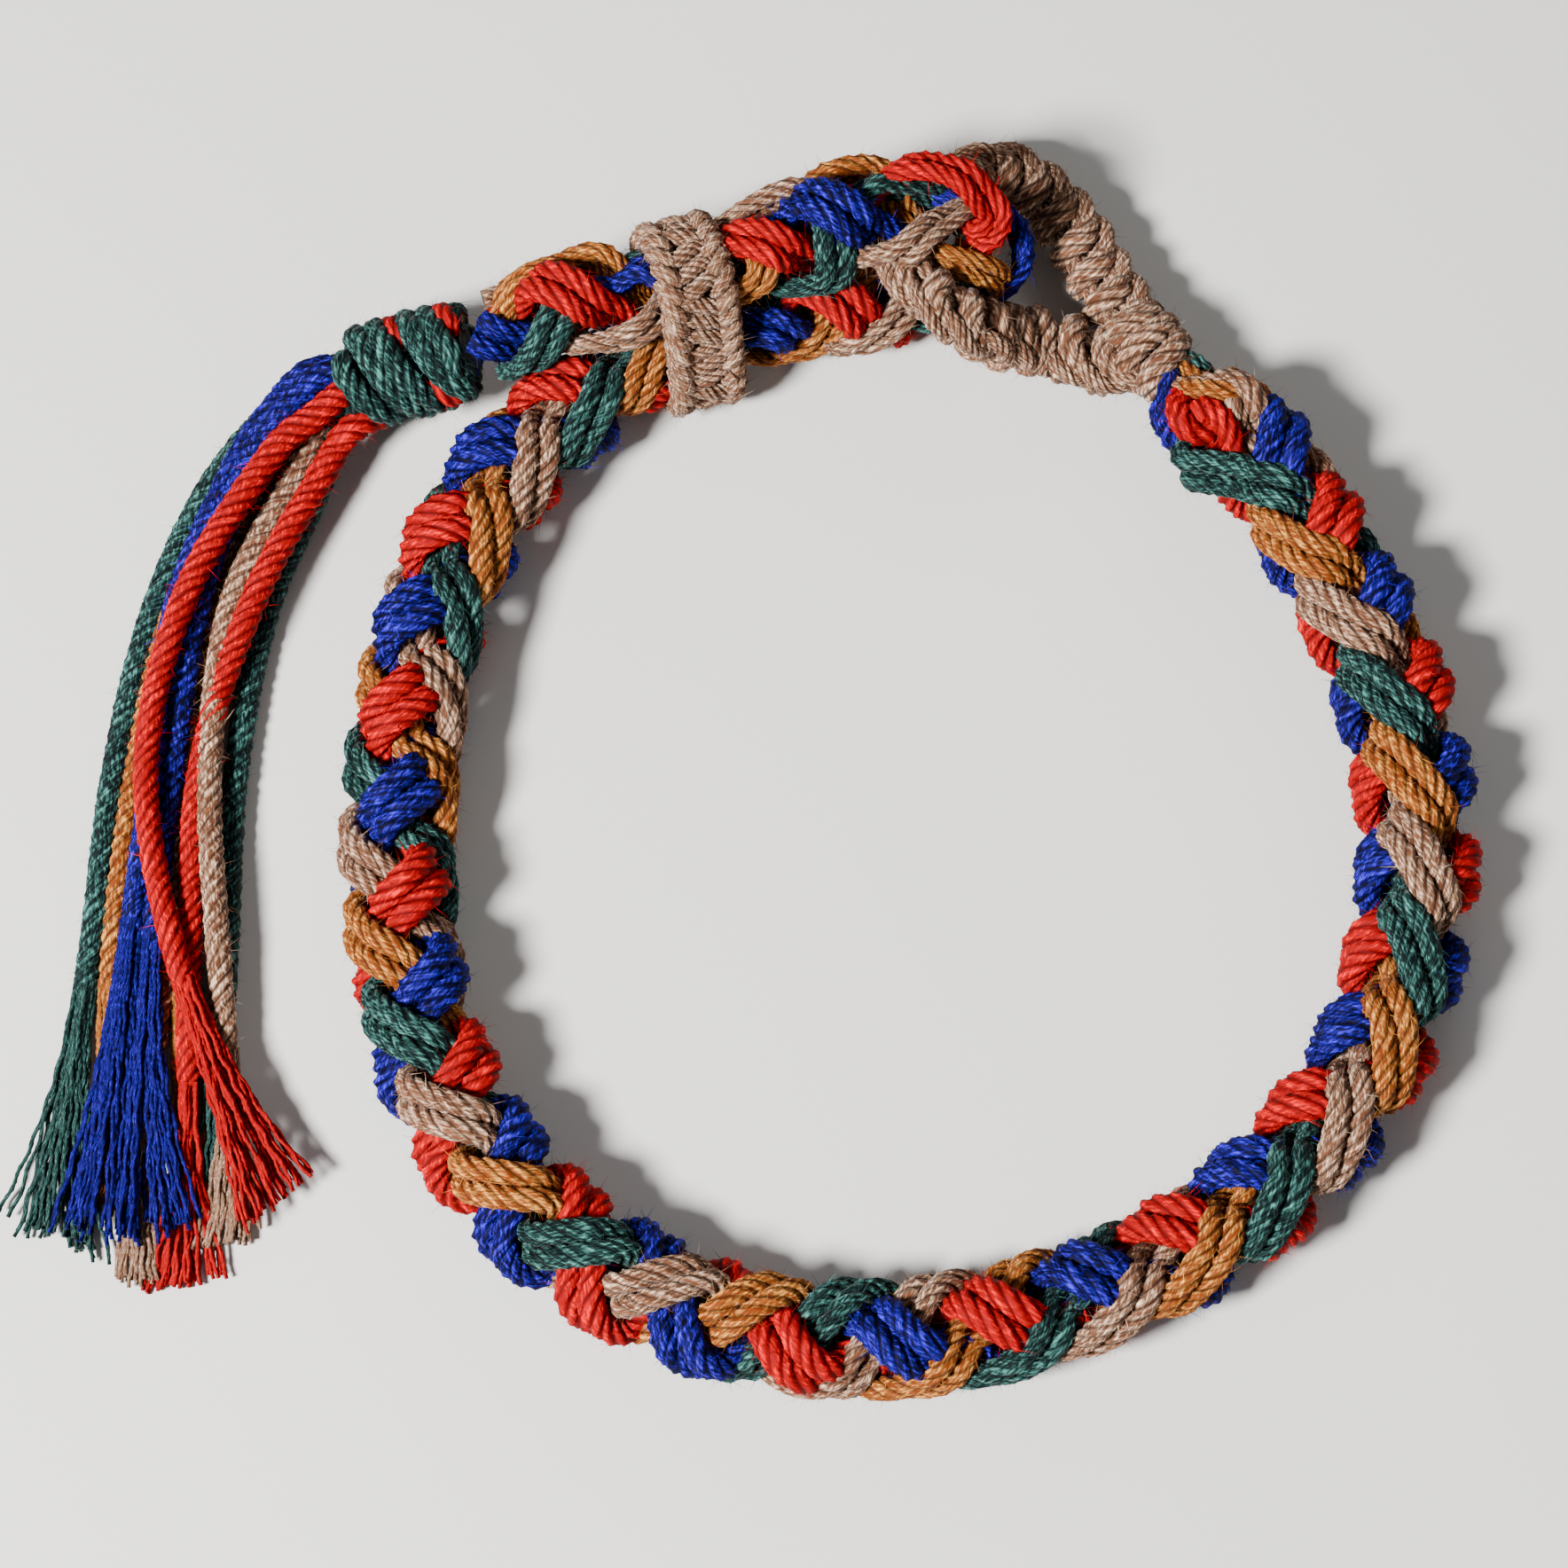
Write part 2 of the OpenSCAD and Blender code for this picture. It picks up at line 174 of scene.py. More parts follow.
# The eye loop from its foot along the lower leg to the fold and back along the upper leg.
# Columns: x, y, z, radius share from the bare cords (0) to the winding (1)
EYE_ROWS = [
    [17.4, 35.9, 3.4, 0.8],
    [15.1, 35.9, 3, 1],
    [12.6, 36.7, 3, 1],
    [10, 37.3, 3.2, 0.95],
    [7.6, 36.9, 5, 0.8],
    [5.2, 36.6, 8, 0.6],
    [2.6, 37.8, 10, 0.4],
    [0.8, 39.9, 9.7, 0.1],
    [1.05, 42.1, 7.8, 0.05],
    [2.2, 44.1, 6.2, 0],
    [3.9, 47, 4.4, 0.2],
    [6.2, 49.6, 3.4, 0.5],
    [8.4, 49.8, 3, 0.55],
    [11, 47.8, 3, 0.6],
    [13, 45.1, 3, 0.65],
    [14.4, 42.4, 3, 0.65],
    [16.7, 38, 3.5, 0.7],
]

# The eye's foot, where both legs and the braid's start are wound together.
# Columns: x, y, z, outer radius
FOOT_ROWS = [
    [16.2, 38.8, 3.3, 2.5],
    [16.6, 38.2, 3.4, 2.75],
    [17.1, 37.4, 3.5, 3.05],
    [17.6, 36.6, 3.8, 3.15],
    [18.1, 35.8, 4.1, 3.1],
    [18.6, 35.1, 4.4, 2.9],
    [19.1, 34.4, 4.6, 2.6],
]

# The eye's winding: the outer radius of a leg and of the bare cords, the least radius of the
# winding, what is added to a leg's share, and the share from which the upper leg is wound
LEG_R = 2.65
FAR_R = 1.45
WOUND_R = 1.95
WOUND_MORE = 0.12
WOUND_FROM_SHARE = 0.25
WIND_PITCH = 2.5
WIND_R = 1.0
FOOT_PITCH = 1.75
TURN_STEP = 0.4
WIND_STEP = 0.25

# The twisted edge of the winding: where it lies round a leg, in degrees from the top, and the
# part of a turn in which the winding steps on beside it
EDGE_ANGLE = -62.0
EDGE_PART = 0.34
EDGE_OUT = 0.35
EDGE_R = 0.62
EDGE_TWIST_R = 0.5
EDGE_TWIST_LENGTH = 4.0
EDGE_STEP = 0.3

# The bare cords inside the winding. Columns: place to the side and upwards
EYE_CORES = [[-0.8, 0.1], [0.8, 0.1], [0.0, -0.6]]
EYE_CORE_R = 0.82
CORE_STEP = 0.45

# Sliding band: the rows of the braid's middle line that it holds, its level way, its inner radius
# and how far out its wool lies
MAIN_ROW = 18
TAIL_ROW = 29
BAND_LEVEL_WAY = (0.936, 0.352, 0.0)
BAND_R = 3.1
BAND_OUT = 0.62
BAND_STEP = 0.2

# The two columns of twisted knots at the band's edges
COLUMN_PLACES = (-1.8, 1.8)
COLUMN_TURN_LENGTH = 2.5
COLUMN_TWIST_R = 0.5
COLUMN_ROPE_R = 0.58
COLUMN_TWIST_LENGTH = 2.6

# The ribs between them, which arch by turns more and less and slant by threes
RIB_SPACING = 1.2
RIB_HALF = 1.3
RIB_POINTS = 9
RIB_LIFT = 0.26
RIB_LIFT_CHANGE = 0.14
RIB_LIFT_TURN = 2.4
RIB_SLANT = 0.4
RIBS_PER_SLANT = 3
RIB_ROPE_R = 0.64
RIB_TWIST_LENGTH = 3.0

# End knot: its ends and radius, its two doubled coils, how far inside its ends their middles stay
# (COIL_EDGE), and the share of its length over which a coil's ends go inside (COIL_ENDS)
KNOT_FROM = (-28.6, 35.3, 6.7)
KNOT_TO = (-38.3, 34.0, 3.5)
KNOT_R = 3.75
KNOT_BULGE = 0.25
KNOT_INSET = 0.1
KNOT_CORE_R = 2.0
KNOT_CORE_SHARES = (0.06, 0.94)
KNOT_CORE_POINTS = 12
COIL_PITCH = 7.6
COIL_FIRST = -57.0
COIL_EDGE = 1.28
COIL_ROPE_R = 0.92
COIL_PAIR_ANGLE = 35.0
COIL_POINTS = 80
COIL_ENDS = 0.12
COIL_DIVE = 1.2

# Where the braid's red cord shows between the coils.
# Columns: angle after the first coil in degrees, from and to as shares of the coils' length
KNOT_GAPS = [[90, -0.02, 0.14], [-90, 0.46, 0.64], [-90, 0.1, 0.22]]
GAP_POINTS = 16
GAP_INSET = 0.8
GAP_ROPE_R = 0.78

# Tassel: the places in y of the table's columns, the middle of the fan and of its layers, and how
# much thicker the twisted ends are near the knot than at the y where they reach their own radius
LOCK_Y = [28, 18, 6, -7, -19]
LOCK_MIDDLE = -43.8
LOCK_LAYER = 2.3
LOCK_STEP = 0.42
TASSEL_ROPE_R = 0.9
TASSEL_TWIST_LENGTH = 5.2
THICKER_AT_KNOT = 0.17
THIN_FROM_Y = 6
THICK_LENGTH = 22
TAPER_POINTS = 10
TAPER_SHARE = 0.4

# The ten cord ends. Columns: colour, x at each place in y, z at the first two, z at the next two,
# z from the last to the tip, y of the tip, y where the fray starts, x and y of the fray's corners
LOCK_ROWS = [
    ["red", -42.9, -48.3, -50.7, -48.3, -43.4, 4.8, 3.9, 2.9, -22.8, -12.5, -42.8, -25.9, -39, -22.6],
    ["red", -39, -43.8, -47.2, -47.4, -47.2, 3.6, 2.5, 1.1, -27, -19, -49.3, -29.6, -44.7, -28.8],
    ["taupe", -41.2, -45.4, -46.5, -45.4, -44.2, 2.7, 2.95, 1.6, -23.5, -17, -46.8, -27.4, -42.9, -26.2],
    ["taupe", -43.2, -48.1, -48.6, -49.2, -50.2, 1.1, 1.1, 1.0, -26.5, -20, -51.4, -29, -49.5, -29],
    ["blue", -45.6, -49.2, -50.4, -51.5, -51.6, 2.5, 2.1, 2.3, -23.8, -8, -55.3, -25.4, -50, -27],
    ["blue", -44.5, -47.7, -49.1, -50, -49, 3.2, 2.1, 2.7, -23, -9, -51.6, -26.8, -46.3, -25.9],
    ["green", -46.9, -51, -53.3, -54.3, -55.6, 1.1, 1.1, 1.6, -24.8, -12, -59.2, -25.2, -52.4, -27.5],
    ["green", -39.7, -43.2, -44.9, -45.1, -45.6, 1.1, 1.1, 1.0, -22, -16, -47.5, -24.8, -44.5, -24.6],
    ["ochre", -45, -49.6, -51.8, -52.8, -52.2, 1.2, 1.1, 1.0, -21.5, -12, -52.6, -24, -50, -24.6],
    ["ochre", -41.4, -46.4, -46.9, -47.9, -47.2, 1.2, 1.1, 1.0, -21.5, -14, -47.2, -24.6, -45.4, -24],
]

# How the lower cord ends leave the end knot. Columns: shift in x, y and z, share of the fan's
# width in x and in y, share of the layer's height in z
LEAVE_ROWS = [
    [0.3, 0.0, 0.0, 0.0, 0.04, 0.06],
    [-1.8, -0.8, -0.4, -0.15, 0.5, 0.5],
]

# How the upper cord ends leave it. Keys: row of the table of cord ends. Columns: x, y, z
LOCK_STARTS = {
    0: [[-35.8, 33.2, 4.0], [-37.8, 32.6, 5.2], [-39.8, 30.9, 5.2]],
    1: [[-35.6, 31.8, 3.0], [-36.8, 30.7, 4.2], [-38.1, 29.5, 4.2]],
    4: [[-38.0, 35.0, 3.8], [-40.6, 34.4, 4.2], [-43.2, 31.7, 3.4]],
    5: [[-37.6, 34.6, 4.4], [-39.8, 33.7, 5.0], [-42.8, 30.7, 4.2]],
}

# The yarns of a frayed end: how many, how far before the fray's y they begin, the radius of the
# cord that they come from, how unevenly they spread and reach, and their crimp
FRAY_YARNS = 34
FRAY_R = 0.2
FRAY_TWIST_LENGTH = 3.4
FRAY_POINTS = 32
FRAY_LEAD = 3.6
FRAY_SPOT = 0.75
FRAY_WIDTH = 1.7
FRAY_UNEVEN = 0.12
FRAY_REACH = 0.98
FRAY_REACH_CHANGE = 0.02
FRAY_LOWEST = 0.2
FRAY_DROP = 1.3
FRAY_CRIMP = 0.1
FRAY_CRIMP_LENGTHS = (2.2, 4.5)
FRAY_TIP_SHARE = 0.85
FLOOR_GAP = 0.02

# Wool of each colour, with light and shade partly painted in.
# Columns: ridge (lighter fibres, partly a painted highlight), body, valley (painted shade in the grooves
# between plies, also the colour of the dark flecks), mottling, sheen
WOOL_ROWS = {
    "red": [(255, 14, 22), (132, 0, 3), (42, 0, 1), 0.3, 0.0],
    "blue": [(62, 38, 236), (1, 0, 27), (0, 0, 9), 0.4, 0.0],
    "taupe": [(255, 217, 182), (102, 60, 38), (26, 12, 6), 0.6, 0.1],
    "ochre": [(255, 180, 88), (114, 48, 7), (34, 12, 1), 0.4, 0.03],
    "green": [(88, 150, 140), (0, 10, 11), (0, 3, 4), 0.5, 0.05],
}

# Streaks in the wool. Columns: how many across a rope's radius, length in mm, detail, and the
# levels of the noise at which they begin and are full
STREAKS = {
    "plies": (3.4, 1.6, 2.0, 0.38, 0.64),
    "fibres": (5.5, 0.5, 2.0, 0.42, 0.66),
    "flecks": (2.6, 2.6, 1.0, 0.35, 0.65),
}

# How the streaks make colour and roughness: the fibres' own turn round the rope, the parts that
# fibres and plies have in the bright ridges (lighter fibres with a painted highlight), and how sharp the
# ridges and the painted shade in the grooves are
FIBRE_TURN = 1.08
FIBRE_PART = 0.6
PLY_PART = 0.4
RIDGE_POWER = 2.3
GROOVE_SHADE_POWER = 1.3
GROOVE_SHADE_PART = 0.9
LEAST_ROUGHNESS = 0.68
FIBRE_ROUGHNESS = 0.2

# The camera at the photo's angle: what it looks at, how high it stands, how far and how wide
VIEW_TARGET = (-7.5, 4.5, 4.0)
VIEW_HIGH = 72.0
VIEW_DISTANCE = 320.0
VIEW_ANGLE = 18.8

# Lamps. Columns: name, place, size and power, in metres and watts
LAMP_ROWS = [
    ["key", (-0.3, -0.2, 0.4), 0.12, 11.4],
    ["fill", (0.4, -0.1, 0.4), 0.4, 0.3],
    ["rim", (0.1, 0.45, 0.3), 0.3, 0.6],
]
LAMP_TARGET = (-0.0075, 0.0045, 0.0)
PALE_FLOOR = (206, 204, 200)


def srgb(colour):
    """An 8-bit colour as the linear values that Blender's sockets take."""
    values = []
    for part in colour:
        level = part / 255
        values.append(level / 12.92 if level <= 0.04045 else ((level + 0.055) / 1.055) ** 2.4)
    return (values[0], values[1], values[2], 1.0)


def unit(v):
    """The rows of v, each at length 1."""
    return v / np.linalg.norm(v, axis=-1, keepdims=True)


def smooth_rows(rows, parts):
    """A smooth curve through the rows of a table."""
    rows = np.array(rows, float)
    out = []
    for i in range(len(rows) - 1):
        a = rows[max(i - 1, 0)]
        b = rows[i]
        c = rows[i + 1]
        d = rows[min(i + 2, len(rows) - 1)]
        for j in range(parts):
            u = j / parts
            bend = (2 * a - 5 * b + 4 * c - d) * u * u + (3 * b - a - 3 * c + d) * u ** 3
            out.append(0.5 * (2 * b + (c - a) * u + bend))
    out.append(rows[-1])
    return np.array(out)


def running(points):
    """Running length along a list of points."""
    steps = np.linalg.norm(np.diff(points[:, :3], axis=0), axis=1)
    return np.concatenate([[0.0], np.cumsum(steps)])


def even_rows(rows, spacing):
    """The same rows again, evenly spaced along their length."""
    lengths = running(rows)
    count = max(2, int(round(lengths[-1] / spacing)) + 1)
    at = np.linspace(0, lengths[-1], count)
    return np.stack([np.interp(at, lengths, rows[:, c]) for c in range(rows.shape[1])], axis=1)


def path_frame(points):
    """Way, side and up at each point of a path."""
    way = unit(np.gradient(points[:, :3], axis=0))
    side = unit(np.cross(way, [0.0, 0.0, 1.0]))
    up = np.cross(side, way)
    return way, side, up


class Braid:
    """The middle line of the braid, measured in crossings."""

    def __init__(self):
        self.rows = smooth_rows(LINE_ROWS, LINE_PARTS)
        steps = np.linalg.norm(np.diff(self.rows[:, :3], axis=0), axis=1)
        self.t = np.concatenate([[0.0], np.cumsum(steps / (LAY * self.rows[:-1, 5]))])
        self.end = self.t[-1]

    def column(self, t, c):
        return np.interp(t, self.t, self.rows[:, c])

    def point(self, t):
        return np.stack([self.column(t, c) for c in range(3)], axis=-1)

    def way(self, t):
        return unit(self.point(t + WAY_STEP) - self.point(t - WAY_STEP))

    def tuck(self, t):
        """How far the cords have opened from the place where they leave the eye's foot."""
        near = np.clip(t / TUCK_PART, 0, 1)
        return TUCK_SHARE + (1 - TUCK_SHARE) * near * near * (3 - 2 * near)

    def cord(self, t, start, turn):
        """Points of a cord, its outward way and how far it is on top, from 0 to 1."""
        if turn > 0:
            x = np.radians(LONG_TURN * (t + start))
            u = x - math.radians(LONG_SHIFT) * np.sin(2 * x)
        else:
            x = np.radians(-SHORT_TURN * (t - start))
            u = x + math.radians(SHORT_SHIFT) * np.sin(2 * x)
        wave = RISE_TERMS[0] + RISE_TERMS[1] * np.cos(u) + RISE_TERMS[2] * np.cos(2 * u)
        rise = wave * math.sqrt(2) / np.sqrt(1 + wave * wave)
        way = self.way(t)
        up = unit(np.array([0.0, 0.0, 1.0]) - way[:, 2:3] * way)
        across = np.cross(up, way)
        angle = u + math.radians(EDGE_SHIFT) * np.sin(u) + np.radians(self.column(t, 3))
        out = np.cos(angle)[:, None] * up + np.sin(angle)[:, None] * across
        share = self.column(t, 4) * self.tuck(t)
        higher = LONG_HIGHER if turn > 0 else SHORT_HIGHER
        reach = share * (MID_R + higher + turn * LIFT_R * rise)
        return self.point(t) + reach[:, None] * out, out, np.clip((1 + turn * rise) / 2, 0, 1)

    def ropes(self, colour, start, turn):
        """The two ropes of one doubled cord, each as rows of x, y, z and thickness share."""
        count = int(self.end / ROPE_STEP)
        t = np.linspace(WAY_STEP, self.end - WAY_STEP, count)
        middle, out, on_top = self.cord(t, start, turn)
        for row in SHIFT_ROWS:
            if row[0] == colour:
                near = np.clip((t - row[1]) / row[2], -1, 1)
                away = np.cos(near * math.pi / 2) ** 2 * self.tuck(t)
                middle = middle + away[:, None] * np.array(row[3:6])
        way = unit(np.gradient(middle, axis=0))
        side = unit(np.cross(way, out))
        fuller = LONG_FULLER if turn > 0 else SHORT_FULLER
        share = np.clip(self.column(t, 4), THINNEST_ROPE, 1.0) * fuller
        spread = ROPE_GAP * share * (SPREAD_LOW + SPREAD_ON_TOP * on_top)
        paths = []
        for hand in (-1, 1):
            points = middle + (hand * spread)[:, None] * side
            thick = share * (THICK_LOW + THICK_ON_TOP * on_top)
            paths.append(np.column_stack([points, thick]))
        return paths


BRAID = Braid()


def group_socket(group, name, kind, value=None, output=False):
    """Adds a named socket to a node group."""
    way = "OUTPUT" if output else "INPUT"
    socket = group.interface.new_socket(name=name, in_out=way, socket_type=kind)
    if value is not None:
        socket.default_value = value


def math_node(nodes, links, operation, a, b=None):
    """A math node with links or plain numbers as its inputs."""
    node = nodes.new("ShaderNodeMath")
    node.operation = operation
    for i, value in enumerate((a, b)):
        if value is None:
            continue
        if isinstance(value, (int, float)):
            node.inputs[i].default_value = value
        else:
            links.new(value, node.inputs[i])
    return node.outputs[0]


def stored(nodes, links, geometry, name, kind, value):
    """The geometry with a value kept under a name at each point."""
    store = nodes.new("GeometryNodeStoreNamedAttribute")
    store.data_type = kind
    store.domain = "POINT"
    store.inputs["Name"].default_value = name
    links.new(geometry, store.inputs["Geometry"])
    links.new(value, store.inputs["Value"])
    return store.outputs["Geometry"]


def kept_number(nodes, name):
    """A number that was kept under a name."""
    kept = nodes.new("GeometryNodeInputNamedAttribute")
    kept.data_type = "FLOAT"
    kept.inputs["Name"].default_value = name
    return kept.outputs["Attribute"]


def scaled_vector(nodes, links, vector, scale):
    """A vector times a number."""
    scaled = nodes.new("ShaderNodeVectorMath")
    scaled.operation = "SCALE"
    links.new(vector, scaled.inputs[0])
    links.new(scale, scaled.inputs["Scale"])
    return scaled.outputs[0]


def centred_noise(nodes, links, length, detail, size):
    """Noise about zero that changes over a length and goes half of size up and down."""
    noise = nodes.new("ShaderNodeTexNoise")
    noise.inputs["Scale"].default_value = 1 / (length * MM)
    noise.inputs["Detail"].default_value = detail
    level = math_node(nodes, links, "SUBTRACT", noise.outputs[0], 0.5)
    return math_node(nodes, links, "MULTIPLY", level, size)


def rope_tree():
    """Geometry nodes that turn paths into twisted ropes with grooves between the plies and fuzz."""
    tree = bpy.data.node_groups.new("twisted_rope", "GeometryNodeTree")
    group_socket(tree, "Paths", "NodeSocketGeometry")
    group_socket(tree, "Rope radius", "NodeSocketFloat", 0.00095)
    group_socket(tree, "Plies", "NodeSocketInt", 5)
    group_socket(tree, "Corners per ply", "NodeSocketInt", 6)
    group_socket(tree, "Groove depth", "NodeSocketFloat", 0.18)
    group_socket(tree, "Groove shade", "NodeSocketFloat", 1.0)
    group_socket(tree, "Twist length", "NodeSocketFloat", 0.0067)
    group_socket(tree, "Lay wander", "NodeSocketFloat", 1.1)
    group_socket(tree, "Roughened by", "NodeSocketFloat", 0.00011)
    group_socket(tree, "Hairs per area", "NodeSocketFloat", 0.0)
    group_socket(tree, "Hair length", "NodeSocketFloat", 0.00105)
    group_socket(tree, "Hair radius", "NodeSocketFloat", 0.000017)
    group_socket(tree, "Seed", "NodeSocketInt", 1)
    group_socket(tree, "Wool", "NodeSocketMaterial")
    group_socket(tree, "Ropes", "NodeSocketGeometry", output=True)
    nodes = tree.nodes
    links = tree.links
    given = nodes.new("NodeGroupInput").outputs

    # The path, turned as the rope is twisted, with its own place along the wool
    line = nodes.new("GeometryNodeMeshToCurve")
    links.new(given["Paths"], line.inputs["Mesh"])
    length = nodes.new("GeometryNodeSplineParameter").outputs["Length"]
    turn = math_node(nodes, links, "DIVIDE", length, given["Twist length"])
    angle = math_node(nodes, links, "MULTIPLY", turn, 2 * math.pi)
    wander = centred_noise(nodes, links, LOOSE_LENGTH, 0.0, given["Lay wander"])
    angle = math_node(nodes, links, "ADD", angle, wander)
    turned = stored(nodes, links, line.outputs["Curve"], "turn", "FLOAT", angle)
    tilt = nodes.new("GeometryNodeSetCurveTilt")
    links.new(turned, tilt.inputs["Curve"])
    links.new(angle, tilt.inputs["Tilt"])
    place_along = math_node(nodes, links, "ADD", length, kept_number(nodes, "start"))
    along = stored(nodes, links, tilt.outputs["Curve"], "along", "FLOAT", place_along)

    # The section: one ridge for each ply
    section = nodes.new("GeometryNodeCurvePrimitiveCircle")
    section.inputs["Radius"].default_value = 1.0
    corners = math_node(nodes, links, "MULTIPLY", given["Plies"], given["Corners per ply"])
    links.new(corners, section.inputs["Resolution"])
    index = nodes.new("GeometryNodeInputIndex").outputs[0]
    part = math_node(nodes, links, "DIVIDE", index, given["Corners per ply"])
    ridge = math_node(nodes, links, "ABSOLUTE", math_node(
        nodes, links, "COSINE", math_node(nodes, links, "MULTIPLY", part, math.pi)))
    groove = math_node(nodes, links, "SUBTRACT", 1.0, ridge)
    shrink = math_node(nodes, links, "SUBTRACT", 1.0,
                       math_node(nodes, links, "MULTIPLY", groove, given["Groove depth"]))
    place = nodes.new("GeometryNodeInputPosition").outputs[0]
    # Painted shade: how much the wool's colour is darkened in each groove between plies
    shade = math_node(nodes, links, "MULTIPLY", groove, given["Groove shade"])
    ring = stored(nodes, links, section.outputs["Curve"], "round", "FLOAT_VECTOR", place)
    ring = stored(nodes, links, ring, "groove", "FLOAT", shade)
    shaped = nodes.new("GeometryNodeSetPosition")
    links.new(ring, shaped.inputs["Geometry"])
    links.new(scaled_vector(nodes, links, place, shrink), shaped.inputs["Position"])

    # The rope's skin
    radius = math_node(nodes, links, "MULTIPLY", kept_number(nodes, "thickness"), given["Rope radius"])
    skin = nodes.new("GeometryNodeCurveToMesh")
    skin.inputs["Fill Caps"].default_value = True
    links.new(along, skin.inputs["Curve"])
    links.new(shaped.outputs["Geometry"], skin.inputs["Profile Curve"])
    links.new(radius, skin.inputs["Scale"])
    lump = centred_noise(nodes, links, LUMP_LENGTH, 1.0, given["Roughened by"])
    lump = math_node(nodes, links, "MULTIPLY", lump, 2.0)
    normal = nodes.new("GeometryNodeInputNormal").outputs[0]
    uneven = nodes.new("GeometryNodeSetPosition")
    links.new(skin.outputs["Mesh"], uneven.inputs["Geometry"])
    links.new(scaled_vector(nodes, links, normal, lump), uneven.inputs["Offset"])
    soft = nodes.new("GeometryNodeSetShadeSmooth")
    links.new(uneven.outputs["Geometry"], soft.inputs["Geometry"])

    # Short stray fibres that lean over the surface
    points = nodes.new("GeometryNodeDistributePointsOnFaces")
    links.new(skin.outputs["Mesh"], points.inputs["Mesh"])
    links.new(given["Hairs per area"], points.inputs["Density"])
    height = nodes.new("ShaderNodeSeparateXYZ")
    links.new(nodes.new("GeometryNodeInputPosition").outputs[0], height.inputs[0])
    above = nodes.new("FunctionNodeCompare")
    above.data_type = "FLOAT"
    above.operation = "GREATER_THAN"
    above.inputs["B"].default_value = HAIR_FROM_Z * MM
    links.new(height.outputs[2], above.inputs["A"])
    links.new(above.outputs["Result"], points.inputs["Selection"])
    links.new(given["Seed"], points.inputs["Seed"])
    spin = nodes.new("FunctionNodeRandomValue")
    spin.data_type = "FLOAT_VECTOR"
    spin.inputs[0].default_value = (HAIR_LEANS[0], 0.0, 0.0)
    spin.inputs[1].default_value = (HAIR_LEANS[1], 0.0, 2 * math.pi)
    links.new(given["Seed"], spin.inputs["Seed"])
    spin_turn = nodes.new("FunctionNodeEulerToRotation")
    links.new(spin.outputs[0], spin_turn.inputs[0])
    lean = nodes.new("FunctionNodeRotateRotation")
    lean.rotation_space = "LOCAL"
    links.new(points.outputs["Rotation"], lean.inputs["Rotation"])
    links.new(spin_turn.outputs[0], lean.inputs["Rotate By"])
    size = nodes.new("FunctionNodeRandomValue")
    size.data_type = "FLOAT"
    size.inputs["Min"].default_value = HAIR_SHARES[0]
    size.inputs["Max"].default_value = HAIR_SHARES[1]
    links.new(given["Seed"], size.inputs["Seed"])
    hair = nodes.new("GeometryNodeMeshCone")
    hair.inputs["Vertices"].default_value = 3
    hair.inputs["Radius Top"].default_value = 0.0
    links.new(given["Hair radius"], hair.inputs["Radius Bottom"])
    links.new(given["Hair length"], hair.inputs["Depth"])
    grown = nodes.new("GeometryNodeInstanceOnPoints")
    links.new(points.outputs["Points"], grown.inputs["Points"])
    links.new(hair.outputs["Mesh"], grown.inputs["Instance"])
    links.new(lean.outputs[0], grown.inputs["Rotation"])
    links.new(size.outputs["Value"], grown.inputs["Scale"])

    both = nodes.new("GeometryNodeJoinGeometry")
    links.new(grown.outputs["Instances"], both.inputs[0])
    links.new(soft.outputs["Geometry"], both.inputs[0])
    real = nodes.new("GeometryNodeRealizeInstances")
    links.new(both.outputs[0], real.inputs[0])
    painted = nodes.new("GeometryNodeSetMaterial")
    links.new(real.outputs[0], painted.inputs["Geometry"])
    links.new(given["Wool"], painted.inputs["Material"])
    out = nodes.new("NodeGroupOutput")
    links.new(painted.outputs[0], out.inputs["Ropes"])
    return tree


ROPE_TREE = rope_tree()


def paths_mesh(name, paths):
    """A mesh of open lines from rows of x, y, z and thickness share."""
    points = np.concatenate([p[:, :3] for p in paths]) * MM
    thick = np.concatenate([p[:, 3] for p in paths])
    starts = []
    edges = []
    first = 0
    for i, p in enumerate(paths):
        starts.append(np.full(len(p), (i * START_STEP % START_SPAN) * MM))
        index = np.arange(first, first + len(p) - 1)
        edges.append(np.stack([index, index + 1], axis=1))
        first += len(p)
    pairs = [tuple(int(i) for i in pair) for pair in np.concatenate(edges)]
    mesh = bpy.data.meshes.new(name)
    mesh.from_pydata([tuple(p) for p in points], pairs, [])
    for kept, values in (("thickness", thick), ("start", np.concatenate(starts))):
        attribute = mesh.attributes.new(kept, "FLOAT", "POINT")
        attribute.data.foreach_set("value", values.astype(np.float32))
    return mesh


def make_ropes(name, paths, wool, **sizes):
    """A plain mesh object of twisted ropes along the paths."""
    maker = bpy.data.objects.new(name + "_paths", paths_mesh(name + "_paths", paths))
    bpy.context.scene.collection.objects.link(maker)
    modifier = maker.modifiers.new("ropes", "NODES")
    modifier.node_group = ROPE_TREE
    values = {"Wool": wool, "Rope radius": ROPE_R * MM, "Twist length": TWIST_LENGTH * MM}
    values.update(sizes)
    for item in ROPE_TREE.interface.items_tree:
        if item.in_out == "INPUT" and item.name in values:
            modifier[item.identifier] = values[item.name]
    bpy.context.view_layer.update()
    graph = bpy.context.evaluated_depsgraph_get()
    shown = maker.evaluated_get(graph)
    mesh = bpy.data.meshes.new_from_object(shown, preserve_all_data_layers=True, depsgraph=graph)
    mesh.name = name
    if len(mesh.materials) == 0:
        mesh.materials.append(wool)
    piece = bpy.data.objects.new(name, mesh)
    bpy.context.scene.collection.objects.link(piece)
    bpy.data.objects.remove(maker)
    return piece


def finish_piece(piece, slot, *nodes):
    """Hides the CAD nodes that a piece stands for and puts the piece under the root body; its finish,
    the slot, is not used.
    """
    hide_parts(*nodes)
    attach(piece, "root")


